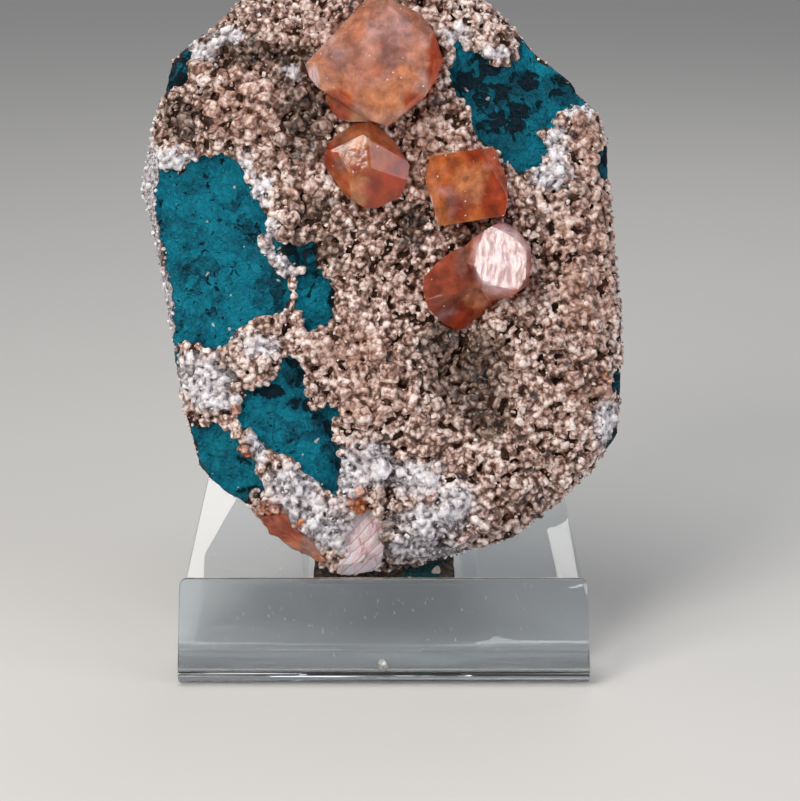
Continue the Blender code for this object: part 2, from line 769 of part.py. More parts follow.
def acrylic_easel(collection):
    """The easel: a flat pattern with a window, bent along the profile and thickened."""
    path = easel_profile()
    lengths = [0.0]
    for before, after in zip(path, path[1:]):
        lengths.append(lengths[-1] + (after - before).length)
    bend_end = 2 * (BEND_STEPS + 1)
    panel_foot = panel_point(0, 0, SHEET / 2)
    foot = Vector((panel_foot.y, panel_foot.z))
    panel_start = lengths[bend_end] - (path[bend_end] - foot).length
    extra = [panel_start + at for at in (PANEL_TAPER_START, WINDOW_START, WINDOW_END)]
    extra += [LIP_CORNER * share for share in (0.08, 0.3, 0.6, 1.0)]
    stations = sorted(set(lengths + extra))
    bm = bmesh.new()
    rows = []
    for at in stations:
        i = max(k for k in range(len(lengths)) if lengths[k] <= at + 1e-9)
        i = min(i, len(path) - 2)
        share = (at - lengths[i]) / (lengths[i + 1] - lengths[i])
        place = path[i].lerp(path[i + 1], share)
        width = sheet_half_width(at, panel_start)
        rise = (at - panel_start - WINDOW_START) / (WINDOW_END - WINDOW_START)
        rise = max(0.0, min(1.0, rise))
        inner = WINDOW_HALF[0] + (WINDOW_HALF[1] - WINDOW_HALF[0]) * rise
        columns = (-width, -inner, inner, width)
        rows.append([bm.verts.new((x, place.x, place.y)) for x in columns])
    for at, row, following in zip(stations, rows, rows[1:]):
        along = at - panel_start
        open_here = WINDOW_START - 1e-6 <= along < WINDOW_END - 1e-6
        for column in range(3):
            if column == 1 and open_here:
                continue
            corners = (row[column], row[column + 1], following[column + 1], following[column])
            bm.faces.new(corners)
    made = new_object("acrylic_easel", bm, collection)
    wall = made.modifiers.new("sheet", "SOLIDIFY")
    wall.thickness = SHEET
    wall.offset = 0.0
    wall.use_even_offset = True
    return made


def level_foot(target, collection):
    """Cut the rear leg off level with the table."""
    bm = bmesh.new()
    made = bmesh.ops.create_cube(bm, size=1.0)["verts"]
    for vert in made:
        vert.co.x *= 4 * LEG_HALF
        vert.co.y = LEG_FOOT_Y + 60 * MM * vert.co.y
        vert.co.z = 40 * MM * (vert.co.z - 0.5)
    boolean(target, new_object("table_cut", bm, collection), "DIFFERENCE")


def main():
    drop_scene()
    parts = bpy.data.collections.new("red_calcite_with_heulandite")
    cutters = bpy.data.collections.new("cutters")
    bpy.context.scene.collection.children.link(parts)
    bpy.context.scene.collection.children.link(cutters)

    calcites = {
        "calcite_upper_pair": [CALCITE_LARGE, CALCITE_WEDGE, CALCITE_SMALL],
        "calcite_rhomb": [CALCITE_CUBE],
        "calcite_lower_twin": [CALCITE_LOBE, CALCITE_HEAD],
        "calcite_tip": [CALCITE_TIP],
        "calcite_edge": [CALCITE_EDGE],
    }

    outline = outline_from(OUTLINE_PX, RIM_DEPTH)
    areas = [outline_from(pixels) for pixels in CELADONITE_PX.values()]
    for specs in calcites.values():
        for spec in specs:
            walls = [facet for facet in spec["facets"] if facet[5] > UPRIGHT]
            areas.append(outline_from([wall[:2] for wall in walls]))

    stone = stone_body(parts)
    boolean(stone, crystal_blocks(cutters, outline, areas), "UNION")
    boolean(stone, window_knob(cutters), "UNION")
    for name, specs in calcites.items():
        boolean(stone, joined_crystals(name + "_pocket", specs, cutters, GAP), "DIFFERENCE")
    keep_largest(stone)
    stone.data.materials.append(material("heulandite", (0.45, 0.30, 0.23), 0.45))

    orange = material("red_calcite", (0.55, 0.17, 0.05), 0.12, 0.6)
    for name, specs in calcites.items():
        crystal = joined_crystals(name, specs, parts)
        if name == "calcite_tip":
            cleavage_steps(crystal, cutters)
        keep_largest(crystal)
        crystal.data.materials.append(orange)

    easel = acrylic_easel(parts)
    level_foot(easel, cutters)
    easel.data.materials.append(material("clear_acrylic", (0.9, 0.92, 0.95), 0.03, 1.0))


main()
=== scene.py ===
"""The looks of a red calcite on heulandite, leaning on a clear acrylic easel.

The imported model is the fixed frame. Each operator below dresses one piece of it: the rock
with its celadonite windows, the heulandite crust, the calcite crystals and the easel. The
last one sets up the floor, the lights and the camera. Everything is in metres.
"""

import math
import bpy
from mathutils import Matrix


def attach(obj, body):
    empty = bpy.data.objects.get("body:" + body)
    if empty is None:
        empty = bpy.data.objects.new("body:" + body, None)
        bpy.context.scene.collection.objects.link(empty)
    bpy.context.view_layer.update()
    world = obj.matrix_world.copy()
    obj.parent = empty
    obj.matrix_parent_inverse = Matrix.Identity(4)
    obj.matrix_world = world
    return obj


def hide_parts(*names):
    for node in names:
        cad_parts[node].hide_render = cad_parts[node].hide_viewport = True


bl_info = {
    "name": "Calcite and Heulandite Specimen",
    "version": (1, 0, 0),
    "blender": (4, 5, 0),
    "location": "View3D > Sidebar > Specimen",
    "description": "Dresses a packed calcite and heulandite specimen and its acrylic easel",
    "category": "Object",
}

import bmesh
import bpy
import numpy as np
from bpy.props import FloatProperty, FloatVectorProperty, IntProperty, PointerProperty
from mathutils import Vector
from mathutils.bvhtree import BVHTree
from mathutils.kdtree import KDTree

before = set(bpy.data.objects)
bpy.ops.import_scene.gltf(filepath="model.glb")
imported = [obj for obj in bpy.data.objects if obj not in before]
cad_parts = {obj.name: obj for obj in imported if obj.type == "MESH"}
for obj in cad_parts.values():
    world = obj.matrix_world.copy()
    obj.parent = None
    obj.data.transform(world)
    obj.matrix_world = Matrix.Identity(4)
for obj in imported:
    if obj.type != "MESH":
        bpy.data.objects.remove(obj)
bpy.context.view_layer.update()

MM = 0.001

# The slanted frame of the stone's face, as in the part's source: u right, v up the face,
# w out of it. Places on the stone are pixels of the photograph with a depth w.
FACE_LEAN = math.radians(15)
FACE_SCALE = 0.2472 * MM
VIEW_DISTANCE = 800 * MM
VIEW_CENTRE_PX = (400, 400.5)
TIP_PX = (348, 577)
TIP = Vector((-8.9, 10.4, 20.9)) * MM
AXIS_U = Vector((1, 0, 0))
AXIS_V = Vector((0, math.sin(FACE_LEAN), math.cos(FACE_LEAN)))
AXIS_W = Vector((0, -math.cos(FACE_LEAN), math.sin(FACE_LEAN)))
PHOTO_WIDTH_PX = 800
SENSOR_WIDTH = 36.0

# The front lip of the easel, and the place of the drop of glue on it
LIP_FRONT_Y = -12 * MM
LIP_LEAN = math.radians(10)
LIP_HEIGHT = 26 * MM
GLUE_X = -0.2 * MM
GLUE_HEIGHT = 5.6 * MM

# Depths from the stone's face at which its broken sides begin, its crust ends, the teal of
# the windows ends and the dark brown under the crust ends, which is partly stain and partly
# painted shade, and how softly two of them change
BROKEN_START = -3.2 * MM
BROKEN_BLEND = 2.5 * MM
CRUST_END = -3.6 * MM
WINDOW_END = -5.5 * MM
STAIN_AND_SHADE_END = -6.0 * MM
STAIN_AND_SHADE_BLEND = 2.0 * MM

# The crust keeps this far from the windows, in millimetres, give or take the shake. It
# reaches a little way under the calcite crystals, in pixels.
WINDOW_MARGIN = 0.15
WINDOW_SHAKE = 0.3
UNDER_CALCITE_PX = 3
ZONE_BLUR_PX = 3.0
AREA_BLUR_PX = 12
GROUND_SPOTS = 140000

# How crystals stand: over how many millimetres from the outline they reach full size, how
# far a spot's fan leans, how far it spreads and how much the small ones turn to the front
RIM_WIDTH = 8
FAN_LEAN = 0.36
FAN_SPREAD = 0.38
TURN_OUT = 1.4

# The outline of the stone's face, in pixels
OUTLINE_PX = [
    (241, 0), (218, 27), (191, 44), (172, 61), (166, 91), (154, 125), (149, 149), (141, 188),
    (149, 214), (159, 261), (170, 330), (178, 378), (187, 418), (199, 464), (224, 491),
    (247, 504), (271, 531), (306, 553), (330, 570), (348, 577), (369, 573), (420, 564),
    (474, 549), (510, 538), (565, 495), (596, 465), (617, 436), (621, 374), (621, 320),
    (613, 240), (607, 140), (597, 112), (577, 94), (536, 55), (521, 37), (480, 0),
    (452, -11), (370, -23), (280, -14),
]

# Windows of celadonite in the crust, in pixels
CELADONITE_PX = {
    "left": [
        (155, 188), (159, 180), (160, 168), (170, 168), (180, 172), (185, 170), (186, 163),
        (198, 158), (204, 148), (216, 151), (228, 153), (236, 158), (242, 170), (251, 184),
        (252, 193), (264, 206), (268, 214), (268, 228), (262, 240), (260, 248), (268, 258),
        (276, 270), (288, 278), (292, 290), (288, 310), (278, 318), (268, 317), (254, 320),
        (246, 330), (234, 340), (226, 349), (210, 350), (190, 342), (175, 346), (173, 300),
        (164, 250), (156, 216), (155, 200),
    ],
    "wedge": [
        (270, 234), (284, 241), (300, 243), (316, 236), (319, 256), (318, 270), (298, 272),
        (290, 262), (276, 250),
    ],
    "small": [
        (298, 272), (318, 266), (326, 270), (335, 286), (337, 320), (320, 330), (304, 336),
        (300, 320), (293, 308), (295, 288),
    ],
    "middle": [
        (288, 354), (278, 364), (275, 378), (264, 384), (244, 388), (241, 404), (234, 416),
        (240, 428), (250, 432), (262, 444), (266, 452), (280, 457), (290, 458), (298, 468),
        (312, 478), (320, 486), (332, 495), (338, 492), (339, 478), (343, 462), (338, 442),
        (334, 426), (342, 414), (338, 406), (328, 404), (312, 408), (309, 398), (307, 370),
        (302, 360), (294, 355),
    ],
    "low": [
        (189, 417), (200, 427), (210, 422), (220, 423), (232, 430), (242, 442), (243, 454),
        (254, 458), (260, 470), (268, 490), (262, 496), (250, 492), (246, 502), (234, 498),
        (218, 488), (208, 476), (199, 462), (197, 446), (192, 438),
    ],
    "right": [
        (456, 40), (452, 48), (454, 60), (444, 68), (452, 88), (460, 102), (468, 116),
        (474, 136), (484, 148), (496, 150), (504, 166), (516, 172), (526, 175), (540, 170),
        (544, 158), (548, 150), (542, 138), (539, 132), (554, 128), (558, 116), (570, 108),
        (588, 104), (578, 94), (572, 82), (558, 70), (536, 58), (528, 46), (520, 38),
        (517, 48), (516, 58), (510, 64), (504, 65), (492, 62), (482, 56), (470, 47),
    ],
    "right_edge": [(596, 148), (593, 166), (598, 180), (610, 178), (610, 146)],
    "top_left": [(166, 92), (170, 66), (184, 50), (194, 52), (188, 66), (194, 84), (178, 88)],
    "left_strip": [(170, 348), (178, 352), (177, 374), (172, 372)],
    "rim_upper": [(610, 372), (622, 370), (622, 396), (612, 392)],
    "rim_lower": [(618, 424), (606, 446), (596, 466), (606, 462), (622, 436)],
}

# Painted shade: places where the windows sink, painted darker teal as the shade in the hollow: (x,
# y, radius in x, radius in y) in pixels
SHADED_CELADONITE_PX = [
    (268, 392, 18, 6), (296, 372, 14, 14), (306, 404, 20, 8), (322, 422, 9, 12),
    (338, 450, 6, 26), (300, 254, 24, 12), (334, 302, 5, 26), (178, 74, 20, 24),
    (566, 86, 26, 14), (600, 440, 26, 26), (616, 384, 12, 16), (484, 84, 34, 26),
    (500, 134, 26, 24), (254, 494, 18, 8), (600, 166, 16, 20), (524, 96, 20, 20),
]

# Parts of the crust that are white; grey-brown, partly with painted shade in hollows and crevices;
# peach pink; and stained amber
WHITE_PX = [
    (150, 176, 12, 32), (172, 160, 22, 8), (244, 164, 10, 14), (258, 192, 9, 18),
    (270, 228, 9, 12), (272, 256, 17, 12), (288, 268, 12, 7), (204, 376, 27, 21),
    (214, 402, 22, 9), (262, 346, 20, 10), (258, 446, 10, 16), (292, 486, 26, 20),
    (300, 508, 30, 18), (326, 530, 24, 18), (350, 482, 14, 34), (376, 462, 14, 24),
    (432, 520, 36, 16), (414, 478, 26, 16), (458, 498, 16, 14), (420, 548, 40, 12),
    (606, 424, 12, 22), (556, 150, 10, 24), (550, 178, 18, 10),
    (578, 110, 16, 7), (204, 52, 14, 9), (228, 36, 20, 6), (290, 70, 8, 5),
    (458, 34, 14, 8), (486, 54, 24, 5), (152, 230, 9, 60), (168, 330, 8, 60),
]
DARK_AND_SHADE_PX = [
    (304, 118, 24, 40), (300, 66, 26, 22), (240, 56, 48, 12), (470, 372, 40, 44),
    (440, 345, 22, 18), (388, 520, 7, 52), (412, 226, 16, 22), (320, 250, 20, 14),
    (180, 120, 16, 20), (474, 232, 22, 8), (396, 560, 16, 12), (486, 410, 30, 22),
    (244, 158, 12, 6), (318, 210, 20, 14),
]
PEACH_PX = [
    (580, 270, 30, 70), (246, 106, 36, 34), (590, 140, 16, 30), (352, 350, 30, 26),
    (372, 400, 36, 22), (590, 390, 22, 26), (600, 220, 16, 46), (232, 66, 36, 10),
    (428, 150, 20, 40), (300, 190, 20, 14),
]
AMBER_PX = [
    (360, 504, 11, 10), (272, 516, 16, 12), (296, 534, 12, 10),
    (244, 456, 7, 10), (602, 378, 8, 6), (240, 412, 6, 8),
]

# Holes in the crust, and the calcite crystals that it is kept clear of, as circles:
# (x, y, radius) in pixels
HOLES_PX = [
    (282, 506, 6), (462, 345, 9), (496, 352, 5), (388, 506, 4), (388, 538, 4), (253, 498, 8),
]
CALCITE_PX = [
    (376, 62, 58), (340, 104, 14), (366, 166, 36), (468, 187, 36), (497, 262, 32),
    (456, 292, 31), (360, 545, 22), (362, 520, 14), (294, 536, 14), (312, 552, 10),
]

# The ring of agate, in the hole that is kept for it
AGATE_PX = (253, 498)
AGATE_RADIUS = 1.35 * MM
AGATE_BAND = 0.55 * MM
AGATE_CORE = 1.0 * MM

# The crystals that are copied: name, sides, width, thickness, taper and chamfer, all for
# a crystal of length one
CRYSTALS = (
    ("block", 8, 0.86, 0.62, 0.72, 0.14),
    ("petal", 8, 0.94, 0.36, 0.66, 0.1),
    ("stub", 6, 0.96, 0.76, 0.8, 0.16),
    ("finger", 6, 0.5, 0.42, 0.7, 0.1),
)
GRAINS = (
    ("grain", 5, 0.9, 0.6, 0.6, 0.0),
    ("splinter", 5, 0.55, 0.4, 0.6, 0.0),
)

# The middles of the areas in which the crust is grown, one mass each
CRUST_AREAS_PX = {
    "heulandite_upper_left": (225, 100),
    "heulandite_top": (390, 10),
    "heulandite_upper_right": (575, 190),
    "heulandite_middle": (385, 300),
    "heulandite_right": (540, 340),
    "heulandite_lower_right": (470, 490),
    "heulandite_lower_left": (270, 480),
}

# Colour zones of the calcites, as the lists above. The deep zones are partly the crystals' own
# deeper red and partly painted shade.
CALCITE_DEEP_AND_SHADE_PX = [
    (437, 58, 7, 26), (414, 102, 11, 9), (336, 104, 12, 12), (394, 184, 14, 20),
    (378, 204, 12, 8), (330, 158, 7, 16), (496, 200, 14, 26), (486, 154, 24, 8),
    (462, 210, 5, 14), (448, 276, 22, 20), (432, 294, 9, 24), (458, 324, 16, 10),
    (516, 294, 14, 6), (272, 514, 16, 10), (290, 530, 12, 10), (360, 502, 10, 8),
    (402, 170, 8, 22), (386, 190, 20, 16), (500, 170, 8, 22), (334, 112, 16, 14),
    (284, 522, 20, 14), (505, 160, 8, 10),
]
CALCITE_SMOKY_PX = [
    (390, 56, 13, 15), (452, 204, 7, 18), (336, 62, 10, 12),
    (462, 262, 6, 16), (314, 546, 14, 8), (380, 4, 8, 4), (340, 164, 7, 7),
]
# Partly painted glints: the zones on the bevels, the rhomb's left edge and the twin's mirror facet
# stand for glare; those on the tip are milky calcite
CALCITE_MILKY_AND_GLINT_PX = [
    (313, 80, 6, 13), (500, 260, 26, 32), (430, 210, 3, 14), (433, 220, 4, 6),
    (356, 550, 18, 26), (372, 540, 12, 30), (344, 568, 14, 8),
]
CALCITE_BRIGHT_PX = [
    (386, 98, 26, 14), (472, 186, 17, 17), (404, 76, 14, 14), (362, 190, 12, 14),
    (358, 140, 14, 10), (476, 300, 12, 8), (300, 522, 10, 8),
]
CALCITE_WARM_PX = [
    (368, 170, 42, 42), (334, 106, 18, 16), (440, 70, 10, 40), (282, 520, 30, 16),
]

# What the materials call these zones
CRUST_ZONES = {"white": WHITE_PX, "dark_and_shade": DARK_AND_SHADE_PX, "peach": PEACH_PX, "amber": AMBER_PX}
CALCITE_ZONES = {
    "deep_and_shade": CALCITE_DEEP_AND_SHADE_PX,
    "smoky": CALCITE_SMOKY_PX,
    "milky_and_glint": CALCITE_MILKY_AND_GLINT_PX,
    "bright": CALCITE_BRIGHT_PX,
    "warm": CALCITE_WARM_PX,
}

# The cracks inside the crystals: the directions across calcite's three cleavages, how many
# places are tried in a crystal of a given reach, and the distances that bound a crack
CLEAVAGES = ((0.75, -0.6, 0.3), (-0.35, -0.8, 0.5), (0.25, 0.4, 0.88))
CRACK_SEED = 3
CRACK_TRIES = 60
CRACK_REACH = 20 * MM
CRACK_MARGIN = 0.8 * MM
CRACK_WIDEST = 5 * MM

# What the lights look at
STONE_MIDDLE = Vector((0, 0.02, 0.09))


def srgb(code):
    """A hex colour as linear RGB with alpha."""
    values = [int(code[i : i + 2], 16) / 255 for i in (0, 2, 4)]
    linear = [v / 12.92 if v <= 0.04045 else ((v + 0.055) / 1.055) ** 2.4 for v in values]
    return (*linear, 1.0)


def colour_property(name, description, code):
    """A colour that a user can change, with its default as a hex code."""
    return FloatVectorProperty(
        name=name, description=description, default=srgb(code), subtype="COLOR",
        size=4, min=0.0, max=1.0,
    )


def length_property(name, description, millimetres):
    """A length that a user can change, with its default in millimetres."""
    return FloatProperty(
        name=name, description=description, default=millimetres * MM, min=0.0,
        unit="LENGTH", precision=5,
    )


class SpecimenRockSettings(bpy.types.PropertyGroup):
    """Sizes and colours of the rock under the crust."""

    voxel: length_property("Voxel", "Mesh width of the rock's surface", 0.76)
    broken_depth: length_property("Broken Depth", "Relief of the broken sides", 2.2)
    crust_depth: length_property("Crust Depth", "Relief under the crust", 0.8)
    window_depth: length_property("Window Depth", "Ledges of the teal windows", 0.7)
    basalt: colour_property("Basalt", "The broken rock on the sides and back", "4A423B")
    celadonite: colour_property("Celadonite", "The flat teal windows", "04667C")
    # Colour of the blotches, which are partly painted shade where the windows sink
    celadonite_blots_and_shade: colour_property("Dark Celadonite", "Sunk parts of the windows", "07202B")


class SpecimenCrustSettings(bpy.types.PropertyGroup):
    """Sizes and colours of the heulandite crust."""

    crystal: length_property("Crystal", "Length of a heulandite crystal", 3.7)
    spacing: length_property("Spacing", "Distance between the crystal groups", 2.25)
    druse: length_property("Druse", "Length of the small crystals on the masses", 1.3)
    druse_spacing: length_property("Druse Spacing", "Distance between small crystals", 1.45)
    voxel: length_property("Voxel", "Mesh width of the grown masses", 0.4)
    seed: IntProperty(name="Seed", description="Changes the scatter", default=5, min=0)
    tip: colour_property("Tips", "Tips of the heulandite crystals", "F6E8E1")
    body: colour_property("Bodies", "Middle of the heulandite crystals", "C3A396")
    # The roots' colour is partly iron stain and partly painted shade between the crystals
    root: colour_property("Roots", "Iron-stained roots between the crystals", "291914")
    white: colour_property("White", "Late white crystals by the windows", "F4F1F3")


class SpecimenCalciteSettings(bpy.types.PropertyGroup):
    """Sizes and colours of the calcite crystals."""

    edge: length_property("Edge", "Rounding of the crystal edges", 0.14)
    peach: colour_property("Peach", "The large crystals", "F4B498")
    orange: colour_property("Orange", "Iron-stained calcite", "F08A44")
    # Also the colour of the painted shade in the deep zones
    deep_and_shade: colour_property("Deep", "The darkest, reddest calcite", "C8480A")
    red: colour_property("Red", "The body of the low twin", "9A2E02")
    smoky: colour_property("Smoky", "Smoky zones inside the crystals", "9C7A78")
    # Also the colour of the painted glints in the milky zones
    milky_and_glint: colour_property("Milky", "Milky zones and cleavage planes", "F2E0EA")


class SpecimenEaselSettings(bpy.types.PropertyGroup):
    """Finish of the acrylic easel."""

    edge: length_property("Edge", "Rounding of the sheet's cut edges", 0.28)
    tint: colour_property("Tint", "Body colour of the clear sheet", "F3F7FA")
    cut: colour_property("Cut Edge", "The sawn edges of the sheet", "FBF1E6")
    drop: length_property("Drop", "Width of the drop of glue on the lip", 3.0)


class SpecimenStageSettings(bpy.types.PropertyGroup):
    """Floor, lights and camera."""

    floor: colour_property("Floor", "The plain floor", "E4E2DE")
    key_power: FloatProperty(
        name="Key Power", description="Power of the main soft light", default=3.4,
        min=0.0, unit="POWER",
    )
    fill_power: FloatProperty(
        name="Fill Power", description="Power of the fill light", default=1.8,
        min=0.0, unit="POWER",
    )
    top_power: FloatProperty(
        name="Top Power", description="Power of the light overhead", default=2.6,
        min=0.0, unit="POWER",
    )


def face_uvw(points):
    """World points as columns across, up and out of the stone's face."""
    away = np.asarray(points) - np.array(TIP)
    return np.stack([away @ np.array(axis) for axis in (AXIS_U, AXIS_V, AXIS_W)], axis=1)


def pixels_of(points):
    """The pixels of the photograph at which world points are seen."""
    u, v, w = face_uvw(points).T
    scale = FACE_SCALE * (1 - w / VIEW_DISTANCE)
    x = VIEW_CENTRE_PX[0] + (u - (VIEW_CENTRE_PX[0] - TIP_PX[0]) * FACE_SCALE) / scale
    y = VIEW_CENTRE_PX[1] - (v - (TIP_PX[1] - VIEW_CENTRE_PX[1]) * FACE_SCALE) / scale
    return np.stack([x, y], axis=1)


def face_point(px, py, w=0.0):
    """A pixel and a depth as a world point."""
    near = 1 - w / VIEW_DISTANCE
    u = (VIEW_CENTRE_PX[0] - TIP_PX[0]) * FACE_SCALE
    v = (TIP_PX[1] - VIEW_CENTRE_PX[1]) * FACE_SCALE
    u += (px - VIEW_CENTRE_PX[0]) * FACE_SCALE * near
    v += (VIEW_CENTRE_PX[1] - py) * FACE_SCALE * near
    return TIP + AXIS_U * u + AXIS_V * v + AXIS_W * w


def inside_distance(spots, outline):
    """Distance in pixels from spots to a closed outline, positive inside."""
    corners = np.array(outline, float)
    nearest = np.full(len(spots), np.inf)
    inside = np.zeros(len(spots), bool)
    for a, b in zip(corners, np.roll(corners, -1, axis=0)):
        edge = b - a
        away = spots - a
        t = np.clip(away @ edge / (edge @ edge), 0, 1)
        nearest = np.minimum(nearest, np.linalg.norm(away - t[:, None] * edge, axis=1))
        crosses = (a[1] > spots[:, 1]) != (b[1] > spots[:, 1])
        rise = edge[1] if edge[1] else 1e-9
        inside ^= crosses & (spots[:, 0] < a[0] + (spots[:, 1] - a[1]) / rise * edge[0])
    return np.where(inside, nearest, -nearest)


def window_distance(spots):
    """Distance in millimetres into the nearest celadonite window, negative outside."""
    best = np.full(len(spots), -np.inf)
    for outline in CELADONITE_PX.values():
        best = np.maximum(best, inside_distance(spots, outline))
    return best * FACE_SCALE / MM


def zone_weight(spots, zones):
    """How far spots lie in any of the elliptical zones, from 0 to 1."""
    best = np.zeros(len(spots))
    for x, y, across, up in zones:
        reach = ((spots[:, 0] - x) / across) ** 2 + ((spots[:, 1] - y) / up) ** 2
        best = np.maximum(best, np.clip(1.5 - 0.9 * reach, 0, 1))
    return best


def calcite_distance(spots):
    """Distance in pixels from the nearest calcite crystal, negative on it."""
    best = np.full(len(spots), np.inf)
    for x, y, radius in CALCITE_PX:
        best = np.minimum(best, np.hypot(spots[:, 0] - x, spots[:, 1] - y) - radius)
    return best


def coordinates(mesh):
    """The mesh's vertex places as an array."""
    places = np.empty(len(mesh.vertices) * 3)
    mesh.vertices.foreach_get("co", places)
    return places.reshape(-1, 3)


def store(mesh, name, values):
    """Keep one number for each vertex, for a material to read."""
    layer = mesh.attributes.new(name, "FLOAT", "POINT")
    layer.data.foreach_set("value", np.asarray(values, np.float32))


def select_only(piece):
    """Leave one object selected and active."""
    bpy.ops.object.select_all(action="DESELECT")
    piece.select_set(True)
    bpy.context.view_layer.objects.active = piece


def whole_mesh(operator, **settings):
    """Run an operator in edit mode on all of the active piece."""
    bpy.ops.object.mode_set(mode="EDIT")
    bpy.ops.mesh.select_all(action="SELECT")
    operator(**settings)
    bpy.ops.object.mode_set(mode="OBJECT")


def solid_copy(node, name):
    """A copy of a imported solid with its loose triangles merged, free of the frame."""
    piece = bpy.data.objects.new(name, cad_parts[node].data.copy())
    piece.data.name = name
    bpy.context.scene.collection.objects.link(piece)
    select_only(piece)
    whole_mesh(bpy.ops.mesh.remove_doubles, threshold=0.01 * MM)
    return piece


def apply_modifier(piece, kind, **settings):
    """Add a modifier, set it and apply it."""
    select_only(piece)
    modifier = piece.modifiers.new(kind.title(), kind)
    for name, value in settings.items():
        setattr(modifier, name, value)
    bpy.ops.object.modifier_apply(modifier=modifier.name)


def dress(piece, material):
    """Give a finished piece its material and its body."""
    piece.data.materials.clear()
    piece.data.materials.append(material)
    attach(piece, "root")


def per_mm(size):
    """The texture scale at which a feature is so many millimetres wide."""
    return 1 / (size * MM)


def new_material(name):
    """A material with a shader and an output, and its node tree."""
    material = bpy.data.materials.new(name)
    material.use_nodes = True
    tree = material.node_tree
    return material, tree, tree.nodes["Principled BSDF"]


def add_node(tree, kind, inputs=None, stops=None, out=None, **settings):
    """Add a shader node: inputs take values or sockets, stops are a ramp's colours.

    The node comes back, or its output of the given name or number.
    """
    made = tree.nodes.new("ShaderNode" + kind)
    for name, value in settings.items():
        setattr(made, name, value)
    for name, value in (inputs or {}).items():
        if isinstance(value, bpy.types.NodeSocket):
            tree.links.new(value, made.inputs[name])
        else:
            made.inputs[name].default_value = value
    if stops:
        ramp = made.color_ramp.elements
        while len(ramp) < len(stops):
            ramp.new(1.0)
        for element, (place, colour) in zip(ramp, stops):
            element.position = place
            element.color = colour
    return made if out is None else made.outputs[out]


def dots(tree, at, apart, core, rim, strength=1.0):
    """Round dots about so many millimetres apart, with a chance colour for each.

    A dot is full up to its core and fades out at its rim, both as shares of the distance.
    """
    cells = add_node(tree, "TexVoronoi", {"Vector": at, "Scale": per_mm(apart)})
    dot = add_node(
        tree, "MapRange",
        {0: cells.outputs["Distance"], "From Min": core, "From Max": rim,
         "To Min": strength, "To Max": 0.0}, out=0,
    )
    return dot, add_node(tree, "SeparateColor", {"Color": cells.outputs["Color"]})


